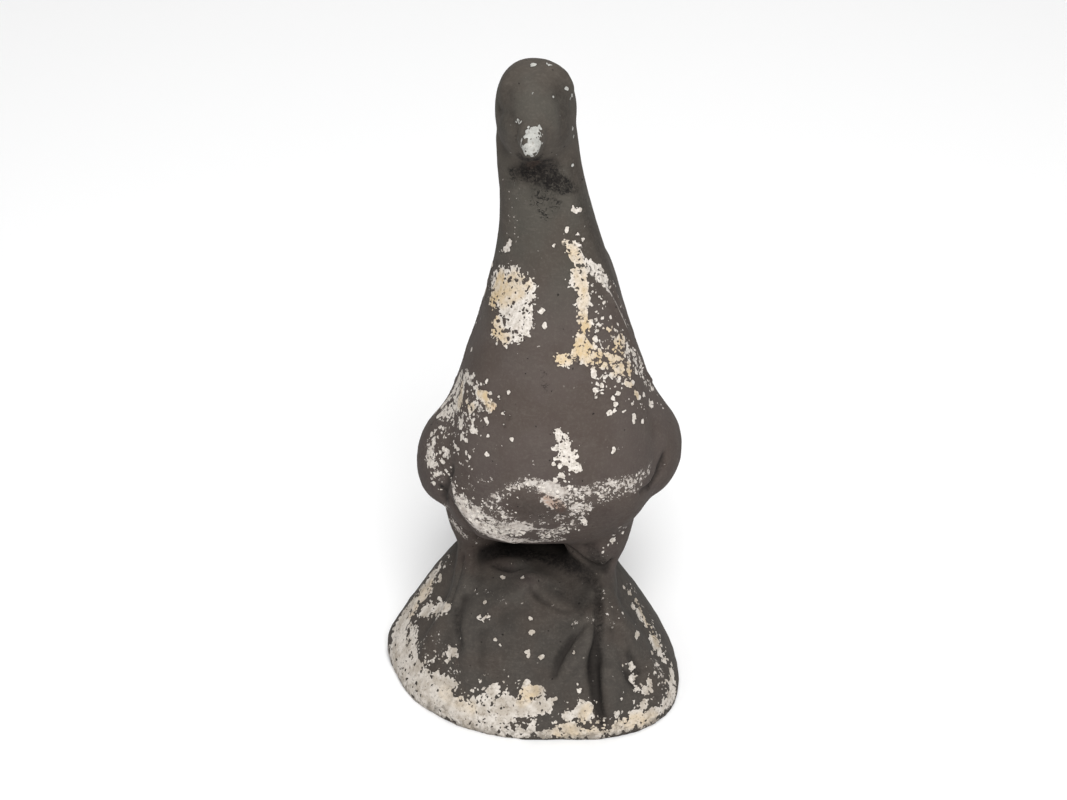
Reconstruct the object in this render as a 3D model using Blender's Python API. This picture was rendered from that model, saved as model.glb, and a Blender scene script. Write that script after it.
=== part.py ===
"""A dove standing on a rock, cast in cement as one piece.

Metres, +Z up. The dove faces -Y. The origin is the middle of the rock's flat underside.
The forms are lofted as separate closed shells, which a voxel remesh fuses into one body.
"""

import math

import bmesh
import bpy
from mathutils import Matrix, Vector

# Driving sizes of the rock
ROCK_WIDTH = 0.140
ROCK_LENGTH = 0.164
ROCK_HEIGHT = 0.060

# Driving sizes of the dove. Its tables below are drawn at DRAWN_HEIGHT and keep their proportions.
BIRD_HEIGHT = 0.244
DRAWN_HEIGHT = 0.244
HEAD_TURN_DEG = 3.0

# Fineness of the cast surface
VOXEL = 0.0019
SOFTENING_PASSES = 5
TRIANGLES = 9000

# How far the dove's middle lies to +X at a height above the rock: height, shift.
SWAY = [
    (-0.040, 0.0030),
    (0.015, 0.0038),
    (0.035, 0.0055),
    (0.055, 0.0080),
    (0.085, 0.0090),
    (0.130, 0.0084),
    (0.155, 0.0075),
    (0.180, 0.0048),
    (0.205, 0.0020),
    (0.250, 0.0006),
]

# Torso from the tail's root over the breast to the head. Each row is a slice of the body:
# back point (y, z), front point (y, z), half width, how far up the slice its widest place is, and its
# bluntness: 1 for an ellipse, less for a blunter lower side and a sharper upper side.
TORSO = [
    (0.112, 0.034, 0.106, 0.006, 0.016, 0.45, 1.0),
    (0.094, 0.056, 0.080, 0.006, 0.028, 0.42, 0.9),
    (0.075, 0.083, 0.046, 0.008, 0.0375, 0.38, 0.8),
    (0.057, 0.107, 0.006, 0.010, 0.0450, 0.34, 0.7),
    (0.043, 0.130, -0.034, 0.017, 0.0505, 0.28, 0.60),
    (0.032, 0.150, -0.057, 0.041, 0.0455, 0.24, 0.60),
    (0.024, 0.166, -0.062, 0.074, 0.0352, 0.30, 0.80),
    (0.020, 0.179, -0.053, 0.108, 0.0268, 0.42, 0.95),
    (0.017, 0.190, -0.042, 0.138, 0.0221, 0.48, 1.0),
    (0.015, 0.201, -0.033, 0.165, 0.0195, 0.50, 1.0),
    (0.013, 0.212, -0.027, 0.186, 0.0188, 0.50, 1.0),
    (0.010, 0.224, -0.024, 0.203, 0.0170, 0.50, 1.0),
]

# Head and beak, from the back of the head to the beak's tip: y, lower z, upper z, half width.
HEAD = [
    (0.013, 0.213, 0.228, 0.0080),
    (0.008, 0.204, 0.236, 0.0140),
    (-0.001, 0.199, 0.2425, 0.0178),
    (-0.012, 0.198, 0.2440, 0.0182),
    (-0.022, 0.201, 0.2410, 0.0170),
    (-0.030, 0.206, 0.2355, 0.0136),
    (-0.036, 0.2105, 0.2300, 0.0092),
    (-0.042, 0.2135, 0.2265, 0.0063),
    (-0.050, 0.2145, 0.2240, 0.0048),
    (-0.055, 0.2140, 0.2205, 0.0028),
]

# Hollow round each eye: y, z, how wide, how deep.
EYE_HOLLOW = (-0.020, 0.2240, 0.0085, 0.0020)

# Folded wing on the +X side from its leading edge to its tip: upper edge (x, y, z), lower edge (x, y, z), half thickness.
WING = [
    (0.024, -0.010, 0.112, 0.046, -0.014, 0.046, 0.0055),
    (0.020, -0.002, 0.128, 0.050, -0.004, 0.034, 0.0105),
    (0.0155, 0.010, 0.137, 0.051, 0.012, 0.027, 0.0115),
    (0.0135, 0.032, 0.132, 0.048, 0.036, 0.020, 0.0112),
    (0.0130, 0.058, 0.104, 0.040, 0.066, 0.014, 0.0102),
    (0.0125, 0.088, 0.066, 0.029, 0.096, 0.008, 0.0080),
    (0.0100, 0.120, 0.024, 0.015, 0.124, 0.002, 0.0042),
]

# Shoulder on the +X side from beside the neck down to the wrist: x, y, z, half width, half depth.
SHOULDER = [
    (0.0160, 0.003, 0.150, 0.0050, 0.0095),
    (0.0185, 0.001, 0.143, 0.0080, 0.0140),
    (0.0225, -0.001, 0.122, 0.0100, 0.0195),
    (0.0262, -0.005, 0.107, 0.0113, 0.0215),
    (0.0298, -0.009, 0.092, 0.0120, 0.0220),
    (0.0345, -0.010, 0.078, 0.0136, 0.0235),
    (0.0397, -0.007, 0.066, 0.0160, 0.0275),
    (0.0430, -0.002, 0.055, 0.0178, 0.0325),
    (0.0445, -0.001, 0.045, 0.0172, 0.0320),
    (0.0445, -0.001, 0.036, 0.0150, 0.0270),
    (0.0440, -0.002, 0.0295, 0.0100, 0.0180),
]

# Tail from its root to its end: y, z of its middle, half width, half thickness.
TAIL = [
    (0.078, 0.044, 0.027, 0.016),
    (0.104, 0.022, 0.027, 0.011),
    (0.128, 0.002, 0.026, 0.007),
    (0.141, -0.008, 0.023, 0.005),
]

# Thigh on the +X side from inside the belly down to the rock: x, y, z, half width, half depth.
THIGH = [
    (0.0240, 0.008, 0.056, 0.0180, 0.0240),
    (0.0275, 0.003, 0.034, 0.0195, 0.0260),
    (0.0285, 0.000, 0.022, 0.0178, 0.0230),
    (0.0288, -0.002, 0.0125, 0.0152, 0.0180),
    (0.0295, -0.004, 0.0060, 0.0118, 0.0130),
    (0.0312, -0.005, 0.0005, 0.0072, 0.0080),
    (0.0322, -0.006, -0.0050, 0.0052, 0.0056),
    (0.0322, -0.008, -0.0140, 0.0050, 0.0054),
    (0.0300, -0.008, -0.0360, 0.0060, 0.0064),
]

# Web of cement behind the legs that joins the belly to the rock: x, y, z, half width, half depth.
WEB = [
    (0.0, 0.026, 0.040, 0.0280, 0.0300),
    (0.0, 0.022, 0.018, 0.0280, 0.0275),
    (0.0, 0.020, 0.004, 0.0285, 0.0260),
    (0.0, 0.019, -0.008, 0.0290, 0.0280),
    (0.0, 0.018, -0.024, 0.0300, 0.0300),
]

# How far each thigh and each shoulder is moved from its drawn place, by side: (outward, forward, down).
THIGH_STEP = {-1: (0.0, 0.0, 0.0), 1: (-0.0036, 0.014, 0.0034)}
SHOULDER_STEP = {-1: (0.0, 0.0, 0.0), 1: (0.0, 0.0, -0.0035)}

# Rock: share of its height, share of its outline left there.
ROCK_PROFILE = [
    (-0.25, 0.955),
    (0.00, 0.990),
    (0.06, 1.000),
    (0.17, 0.965),
    (0.31, 0.900),
    (0.45, 0.820),
    (0.59, 0.735),
    (0.73, 0.655),
    (0.86, 0.570),
    (0.95, 0.460),
    (1.00, 0.320),
    (1.01, 0.130),
]

# Outline of the rock: direction in degrees from +X towards +Y, share of an ellipse of its width and length.
ROCK_OUTLINE = [
    (-180.0, 1.030),
    (-160.0, 1.000),
    (-140.0, 1.005),
    (-120.0, 0.995),
    (-100.0, 0.985),
    (-80.0, 1.015),
    (-65.0, 1.110),
    (-50.0, 1.165),
    (-35.0, 1.135),
    (-20.0, 1.040),
    (0.0, 0.945),
    (18.0, 0.885),
    (30.0, 0.865),
    (50.0, 0.885),
    (75.0, 0.930),
    (100.0, 0.955),
    (125.0, 0.960),
    (150.0, 0.955),
    (165.0, 0.975),
    (180.0, 1.030),
]

# Legs and toes on the rock's front, each along a path on its surface: direction in degrees, share of the
# rock's height, how far the middle lies outside the rock, half width.
TOES = {
    "right_leg": [(-12, 1.00, 0.0030, 0.0070), (-32, 0.96, 0.0010, 0.0066), (-46, 0.89, -0.0004, 0.0060),
                  (-53, 0.78, -0.0016, 0.0064)],
    "right_inner_toe": [(-51, 0.86, -0.0014, 0.0060), (-60, 0.76, -0.0010, 0.0078), (-67, 0.65, -0.0012, 0.0080),
                        (-74, 0.53, -0.0018, 0.0066), (-82, 0.42, -0.0022, 0.0044)],
    "right_middle_toe": [(-50, 0.86, -0.0006, 0.0058), (-52, 0.74, -0.0010, 0.0070), (-55, 0.60, -0.0010, 0.0074),
                         (-59, 0.46, -0.0010, 0.0072), (-63, 0.33, -0.0014, 0.0066), (-66, 0.19, -0.0022, 0.0052)],
    "right_outer_toe": [(-49, 0.74, -0.0020, 0.0060), (-47, 0.60, -0.0018, 0.0062), (-45, 0.46, -0.0020, 0.0058),
                        (-43, 0.35, -0.0026, 0.0046)],
    "left_leg": [(-178, 1.00, 0.0030, 0.0066), (-160, 0.96, 0.0016, 0.0062), (-146, 0.92, 0.0004, 0.0060),
                 (-139, 0.83, -0.0008, 0.0062), (-136, 0.74, -0.0020, 0.0062)],
    "left_outer_toe": [(-138, 0.78, -0.0012, 0.0058), (-139, 0.63, -0.0008, 0.0062), (-141, 0.49, -0.0012, 0.0058),
                       (-143, 0.35, -0.0022, 0.0044)],
    "left_middle_toe": [(-135, 0.78, -0.0014, 0.0058), (-127, 0.66, -0.0010, 0.0060), (-122, 0.55, -0.0010, 0.0060),
                        (-118, 0.42, -0.0018, 0.0054), (-115, 0.30, -0.0026, 0.0042)],
    "rock_rim": [(-86, 0.97, -0.0036, 0.0060), (-97, 0.93, -0.0030, 0.0062), (-107, 0.87, -0.0028, 0.0062),
                 (-117, 0.78, -0.0036, 0.0056)],
}

RING_SIDES = 40
ROWS_BETWEEN = 5


def scaled(rows, factor, lengths):
    """The rows with their first values, which are lengths, times factor."""
    return [tuple(v * factor if i < lengths else v for i, v in enumerate(row)) for row in rows]


def smooth_rows(rows, between=ROWS_BETWEEN):
    """Rows on a Catmull-Rom curve through the given rows."""
    ends = [rows[0]] + list(rows) + [rows[-1]]
    made = []
    for i in range(1, len(ends) - 2):
        before, here, there, after = ends[i - 1 : i + 3]
        for step in range(between):
            t = step / between
            made.append(tuple(
                0.5 * (2 * b + (c - a) * t + (2 * a - 5 * b + 4 * c - d) * t * t + (3 * b - a - 3 * c + d) * t ** 3)
                for a, b, c, d in zip(before, here, there, after)
            ))
    made.append(tuple(rows[-1]))
    return made


def lookup(rows, key):
    """The value at key in rows of (key, value), joined by straight lines."""
    for (a, first), (b, second) in zip(rows, rows[1:]):
        if key <= b:
            return first + (second - first) * max(0.0, (key - a) / (b - a))
    return rows[-1][1]


def ring(centre, across, up, down, blunt=1.0, sides=RING_SIDES):
    """An egg-shaped ring: across is its half width, up and down reach from the centre to its two ends."""
    points = []
    for k in range(sides):
        angle = 2 * math.pi * k / sides
        rise, out = math.sin(angle), math.cos(angle)
        out = math.copysign(abs(out) ** (blunt if rise < 0 else 2.0 - blunt), out)
        points.append(centre + across * out + (up if rise > 0 else -down) * rise)
    return points


def skin(mesh, rings):
    """A closed shell over rings of equal length."""
    loops = [[mesh.verts.new(p) for p in points] for points in rings]
    for first, second in zip(loops, loops[1:]):
        for k in range(len(first)):
            n = (k + 1) % len(first)
            mesh.faces.new((first[k], first[n], second[n], second[k]))
    for loop, points in ((loops[0], rings[0]), (loops[-1], rings[-1])):
        middle = mesh.verts.new(sum(points, Vector()) / len(points))
        for k in range(len(loop)):
            mesh.faces.new((middle, loop[k], loop[(k + 1) % len(loop)]))


def torso(mesh, size):
    rings = []
    for back_y, back_z, front_y, front_z, half, level, blunt in smooth_rows(scaled(TORSO, size, 5)):
        back, front = Vector((0, back_y, back_z)), Vector((0, front_y, front_z))
        centre = front.lerp(back, level)
        rings.append(ring(centre, Vector((half, 0, 0)), back - centre, front - centre, blunt))
    skin(mesh, rings)


def head(mesh, size):
    rings = []
    for y, low, high, half in smooth_rows(scaled(HEAD, size, 4)):
        centre = Vector((0, y, (low + high) / 2))
        rise = Vector((0, 0, (high - low) / 2))
        rings.append(ring(centre, Vector((half, 0, 0)), rise, -rise, 1.12))
    eye_y, eye_z, wide, deep = (v * size for v in EYE_HOLLOW)
    for points in rings:
        for p in points:
            near = math.exp(-((p.y - eye_y) ** 2 + (p.z - eye_z) ** 2) / wide ** 2)
            p.x -= math.copysign(min(deep * near, abs(p.x)), p.x)
    turn = Matrix.Rotation(-math.radians(HEAD_TURN_DEG), 4, "Z")
    skin(mesh, [[turn @ p for p in points] for points in rings])


def wing(mesh, size, side):
    rings = []
    for high_x, high_y, high_z, low_x, low_y, low_z, thick in smooth_rows(scaled(WING, size, 7)):
        high, low = Vector((side * high_x, high_y, high_z)), Vector((side * low_x, low_y, low_z))
        centre = low.lerp(high, 0.22)
        outward = Vector((side, 0.0, 0.25)).normalized()
        rings.append(ring(centre, outward * thick, high - centre, low - centre))
    skin(mesh, rings)


def stack(mesh, size, rows, side, step):
    """A limb of level oval slices: x, y, z, half width, half depth."""
    outward, forward, down = (v * size for v in step)
    rings = []
    for x, y, z, half, depth in smooth_rows(scaled(rows, size, 5)):
        reach = Vector((0, depth, 0))
        middle = Vector((side * (x + outward), y - forward, z - down))
        rings.append(ring(middle, Vector((half, 0, 0)), reach, -reach))
    skin(mesh, rings)


def tail(mesh, size):
    rings = []
    for y, z, half, thick in smooth_rows(scaled(TAIL, size, 4)):
        rise = Vector((0, thick * 0.6, thick))
        rings.append(ring(Vector((0, y, z)), Vector((half, 0, 0)), rise, -rise))
    skin(mesh, rings)


def rock_radius(direction):
    """How far the rock's outline lies from its middle in a direction, in radians."""
    turn = (math.degrees(direction) + 180.0) % 360.0 - 180.0
    share = lookup(smooth_rows(ROCK_OUTLINE, 3), turn)
    across = math.cos(direction) / (ROCK_WIDTH / 2)
    along = math.sin(direction) / (ROCK_LENGTH / 2)
    return share / math.hypot(across, along)


def on_rock(direction, height):
    """The point of the rock's surface in a direction, at a share of its height."""
    radius = rock_radius(direction) * lookup(smooth_rows(ROCK_PROFILE), height)
    return Vector((radius * math.cos(direction), radius * math.sin(direction), height * ROCK_HEIGHT))


def rock(mesh):
    sides = 72
    rings = []
    for height, share in smooth_rows(ROCK_PROFILE):
        points = []
        for k in range(sides):
            angle = 2 * math.pi * k / sides
            radius = share * rock_radius(angle)
            points.append(Vector((radius * math.cos(angle), radius * math.sin(angle), height * ROCK_HEIGHT)))
        rings.append(points)
    skin(mesh, rings)


def toe(mesh, path):
    """A rounded ridge along a path on the rock."""
    rows = smooth_rows(path)
    middles = []
    for turn, height, out, half in rows:
        direction = math.radians(turn)
        lift = Vector((math.cos(direction), math.sin(direction), 0.7)).normalized() * out
        middles.append(on_rock(direction, height) + lift)
    rings = []
    for i, (middle, row) in enumerate(zip(middles, rows)):
        ahead = (middles[min(i + 1, len(rows) - 1)] - middles[max(i - 1, 0)]).normalized()
        across = ahead.cross(Vector((middle.x, middle.y, 0.05))).normalized()
        rise = across.cross(ahead) * row[3]
        rings.append(ring(middle, across * row[3], rise, -rise, sides=16))
    skin(mesh, rings)


def ground_cutter():
    """A block whose top is the ground, which cuts the rock's underside flat."""
    mesh = bmesh.new()
    side = 3 * (ROCK_WIDTH + ROCK_LENGTH)
    bmesh.ops.create_cube(mesh, size=side, matrix=Matrix.Translation((0, 0, -side / 2)))
    data = bpy.data.meshes.new("ground_cutter")
    mesh.to_mesh(data)
    mesh.free()
    cutter = bpy.data.objects.new("ground_cutter", data)
    bpy.context.scene.collection.objects.link(cutter)
    cutter.hide_render = True
    cutter.display_type = "WIRE"
    return cutter


def cast_material():
    material = bpy.data.materials.new("worn_cement")
    material.use_nodes = True
    shader = material.node_tree.nodes["Principled BSDF"]
    shader.inputs["Base Color"].default_value = (0.085, 0.075, 0.066, 1.0)
    shader.inputs["Roughness"].default_value = 0.6
    return material


def build():
    for old in list(bpy.data.objects):
        bpy.data.objects.remove(old)
    size = BIRD_HEIGHT / DRAWN_HEIGHT
    mesh = bmesh.new()
    torso(mesh, size)
    head(mesh, size)
    tail(mesh, size)
    stack(mesh, size, WEB, 1, (0.0, 0.0, 0.0))
    for side in (-1, 1):
        wing(mesh, size, side)
        stack(mesh, size, SHOULDER, side, SHOULDER_STEP[side])
        stack(mesh, size, THIGH, side, THIGH_STEP[side])
    sway = smooth_rows(scaled(SWAY, size, 2))
    for vertex in mesh.verts:
        vertex.co.x += lookup(sway, vertex.co.z)
        vertex.co.z += ROCK_HEIGHT
    rock(mesh)
    for path in TOES.values():
        toe(mesh, path)
    bmesh.ops.recalc_face_normals(mesh, faces=mesh.faces)
    data = bpy.data.meshes.new("dove_on_rock")
    mesh.to_mesh(data)
    mesh.free()
    data.materials.append(cast_material())
    statue = bpy.data.objects.new("dove_on_rock", data)
    bpy.context.scene.collection.objects.link(statue)

    fuse = statue.modifiers.new("fuse", "REMESH")
    fuse.mode = "VOXEL"
    fuse.voxel_size = VOXEL
    soften = statue.modifiers.new("soften", "SMOOTH")
    soften.factor = 0.5
    soften.iterations = SOFTENING_PASSES
    bpy.context.view_layer.update()
    fused = statue.evaluated_get(bpy.context.evaluated_depsgraph_get())
    thin = statue.modifiers.new("thin", "DECIMATE")
    thin.ratio = TRIANGLES / (2 * len(fused.data.polygons))
    level = statue.modifiers.new("flat_underside", "BOOLEAN")
    level.operation = "DIFFERENCE"
    level.solver = "EXACT"
    level.object = ground_cutter()
    return statue


build()
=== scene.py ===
# %% [markdown]
# # A cement dove on its rock
# This is a garden figure, cast in cement as one piece: a dove standing on a rounded rock. Its dark
# paint has worn through to the pale cement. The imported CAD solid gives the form, and this lesson makes
# the surface that goes over it: the soft carving first, then the feathers, then the worn paint.

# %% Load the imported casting
import math

import bmesh
import bpy
import numpy as np
from mathutils import Matrix, Vector, noise
from mathutils.bvhtree import BVHTree


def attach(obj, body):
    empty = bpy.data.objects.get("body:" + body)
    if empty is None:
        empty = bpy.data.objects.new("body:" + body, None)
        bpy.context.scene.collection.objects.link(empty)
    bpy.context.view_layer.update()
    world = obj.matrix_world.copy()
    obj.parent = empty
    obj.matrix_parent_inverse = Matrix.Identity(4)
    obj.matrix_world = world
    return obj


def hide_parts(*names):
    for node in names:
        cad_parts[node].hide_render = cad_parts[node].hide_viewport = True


MM = 0.001
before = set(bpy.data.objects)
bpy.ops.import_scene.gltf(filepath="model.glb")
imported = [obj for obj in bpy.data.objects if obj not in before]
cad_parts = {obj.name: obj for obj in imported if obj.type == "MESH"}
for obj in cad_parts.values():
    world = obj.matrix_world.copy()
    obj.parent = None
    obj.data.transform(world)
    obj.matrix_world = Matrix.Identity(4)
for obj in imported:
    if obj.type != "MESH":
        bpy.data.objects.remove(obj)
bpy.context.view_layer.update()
cad_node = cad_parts["dove_on_rock"]

# %% [markdown]
# ## The studio
# The figure was photographed from the front and a little above. A long lens from 1.25 m keeps its
# head and its rock in the right proportion: a short lens close by would make the head look too big.
# One wide soft light over the front, weaker ones from above and behind, and a pale world leave only
# gentle shadows, as under a cloudy sky.

# %% Camera
CAMERA_TILT = math.radians(27.0)
CAMERA_DISTANCE = 1.25
LOOK_AT = Vector((0.0, 0.0, 0.1345))

camera = bpy.data.objects.new("camera", bpy.data.cameras.new("camera"))
camera.data.lens = 91.0
camera.data.sensor_width = 36.0
camera.data.clip_end = 50.0
towards_lens = Vector((0.0, -math.cos(CAMERA_TILT), math.sin(CAMERA_TILT)))
camera.location = LOOK_AT + CAMERA_DISTANCE * towards_lens
camera.rotation_euler = (math.pi / 2 - CAMERA_TILT, 0.0, 0.0)
bpy.context.scene.collection.objects.link(camera)
bpy.context.scene.camera = camera
print("camera at", [round(v, 3) for v in camera.location])


# %% Lights, world and floor
def soft_light(name, place, width, watts, aim=LOOK_AT):
    """A square area light that looks at the aim, or else at the middle of the figure."""
    lamp = bpy.data.lights.new(name, "AREA")
    lamp.size = width
    lamp.energy = watts
    obj = bpy.data.objects.new(name, lamp)
    obj.location = place
    obj.rotation_euler = (Vector(aim) - Vector(place)).to_track_quat("-Z", "Y").to_euler()
    bpy.context.scene.collection.objects.link(obj)


soft_light("overhead front light", (0.12, -1.4, 1.4), 0.9, 35.0)
soft_light("top light", (0.1, 0.3, 1.8), 1.4, 8.0)
soft_light("light on the floor behind", (0.0, 1.6, 1.7), 2.6, 19.0, aim=(0.0, 1.6, 0.0))

WORLD_STRENGTH = 0.28
world = bpy.data.worlds.new("pale room")
world.use_nodes = True
sky = world.node_tree.nodes["Background"]
sky.inputs["Color"].default_value = (1.0, 1.0, 1.0, 1.0)
sky.inputs["Strength"].default_value = WORLD_STRENGTH
bpy.context.scene.world = world
bpy.context.scene.view_settings.view_transform = "Standard"

HALF_FLOOR = 6.0
FLOOR_GREY = 0.93
floor_mesh = bpy.data.meshes.new("floor")
corners = [(x * HALF_FLOOR, y * HALF_FLOOR, 0.0) for x, y in ((-1, -1), (1, -1), (1, 1), (-1, 1))]
floor_mesh.from_pydata(corners, [], [(0, 1, 2, 3)])
floor = bpy.data.objects.new("floor", floor_mesh)
bpy.context.scene.collection.objects.link(floor)
floor_paint = bpy.data.materials.new("white floor")
floor_paint.use_nodes = True
floor_shader = floor_paint.node_tree.nodes["Principled BSDF"]
floor_shader.inputs["Base Color"].default_value = (FLOOR_GREY, FLOOR_GREY, FLOOR_GREY, 1.0)
floor_shader.inputs["Roughness"].default_value = 0.9
floor_shader.inputs["Specular IOR Level"].default_value = 0.0
floor_mesh.materials.append(floor_paint)

# %% [markdown]
# ## The body of the casting
# The CAD solid is made of a few thousand flat triangles. A plaster figure has no flat facets, so a
# copy of it is merged, remeshed into small even squares and smoothed. Voxel remesh is the right tool
# for a carved form, because its squares have the same size everywhere, and later carving needs that.

# %% Voxel remesh and smoothing
def evaluated_copy(obj, name):
    """A plain mesh object made from obj with its modifiers applied. The old object is removed."""
    graph = bpy.context.evaluated_depsgraph_get()
    mesh = bpy.data.meshes.new_from_object(obj.evaluated_get(graph))
    mesh.name = name
    bpy.data.objects.remove(obj)
    result = bpy.data.objects.new(name, mesh)
    bpy.context.scene.collection.objects.link(result)
    return result


def remeshed(obj, name, square, smoothing):
    """Even squares of the given size, then a few rounds of smoothing."""
    remesh = obj.modifiers.new("even squares", "REMESH")
    remesh.mode = "VOXEL"
    remesh.voxel_size = square
    if smoothing:
        smooth = obj.modifiers.new("softening", "SMOOTH")
        smooth.factor = 0.5
        smooth.iterations = smoothing
    return evaluated_copy(obj, name)


SAME_PLACE = 1e-6
FIRST_SQUARE = 2.0 * MM
FIRST_SMOOTHING = 7
casting_mesh = cad_node.data.copy()
casting_mesh.materials.clear()
merge = bmesh.new()
merge.from_mesh(casting_mesh)
bmesh.ops.remove_doubles(merge, verts=merge.verts, dist=SAME_PLACE)
merge.to_mesh(casting_mesh)
merge.free()
casting = bpy.data.objects.new("casting", casting_mesh)
bpy.context.scene.collection.objects.link(casting)
casting = remeshed(casting, "casting", FIRST_SQUARE, FIRST_SMOOTHING)
print("casting:", len(casting.data.polygons), "squares")

# %% [markdown]
# ## Feathers
# The front of the dove is smooth, but a folded wing has long quills that run back to the tail, with
# shorter feathers laid over their roots. One feather shape repeats along the surface, so Geometry
# Nodes are the natural tool: the tree puts a flat feather at each point, drops it straight onto the
# body with a ray, and lifts its rim by two millimetres. Each feather is a closed leaf, sunk a little way
# into the body, so that the next remesh fuses all of them as in a mould.

# %% The feather leaf
ACROSS = 7
ALONG = 11
SUNK = -1.6
ROOT_WIDTH, WIDENING, NARROWEST = 0.55, 1.6, 0.04
TAPER_FROM, TAPER_POWER = 0.55, 2.4
ROOT_LIFT, TIP_LIFT, RISEN_AT, SIDE_DROP = -0.9, 1.0, 0.45, 0.15
QUILL_HEIGHT, QUILL_WIDTH, QUILL_FULL_AT = 0.35, 0.22, 0.3


def feather_leaf():
    """A flat leaf one unit wide and long, along +Y. Its lift attribute says how proud each point sits."""
    points, lifts, faces = [], [], []
    for side in (1, 0):
        for j in range(ALONG):
            t = j / (ALONG - 1)
            taper = max(0.0, (t - TAPER_FROM) / (1.0 - TAPER_FROM)) ** TAPER_POWER
            width = math.sqrt(max(0.0, 1.0 - taper)) * min(1.0, ROOT_WIDTH + WIDENING * t)
            rise = min(1.0, t / RISEN_AT)
            for i in range(ACROSS):
                s = 2.0 * i / (ACROSS - 1) - 1.0
                points.append((0.5 * s * max(width, NARROWEST), t, 0.0))
                quill = QUILL_HEIGHT * math.exp(-((s / QUILL_WIDTH) ** 2)) * min(1.0, t / QUILL_FULL_AT)
                proud = ROOT_LIFT + (TIP_LIFT - ROOT_LIFT) * rise - SIDE_DROP * s * s
                lifts.append(proud + quill if side else SUNK)
    layer = ACROSS * ALONG
    for j in range(ALONG - 1):
        for i in range(ACROSS - 1):
            a = j * ACROSS + i
            faces.append((a, a + 1, a + 1 + ACROSS, a + ACROSS))
            faces.append((layer + a, layer + a + ACROSS, layer + a + 1 + ACROSS, layer + a + 1))
    rim = list(range(ACROSS)) + [j * ACROSS + ACROSS - 1 for j in range(1, ALONG)]
    rim += [(ALONG - 1) * ACROSS + i for i in range(ACROSS - 2, -1, -1)]
    rim += [j * ACROSS for j in range(ALONG - 2, 0, -1)]
    for a, b in zip(rim, rim[1:] + rim[:1]):
        faces.append((b, a, layer + a, layer + b))
    mesh = bpy.data.meshes.new("feather leaf")
    mesh.from_pydata(points, [], faces)
    lift = mesh.attributes.new("lift", "FLOAT", "POINT")
    lift.data.foreach_set("value", lifts)
    leaf = bpy.data.objects.new("feather leaf", mesh)
    bpy.context.scene.collection.objects.link(leaf)
    return leaf


leaf = feather_leaf()
print("feather leaf:", len(leaf.data.vertices), "points")


# %% The tree that lays feathers on the body
FADE_LENGTH = 18.0 * MM
FADED_DEPTH = -2.6 * MM


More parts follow.
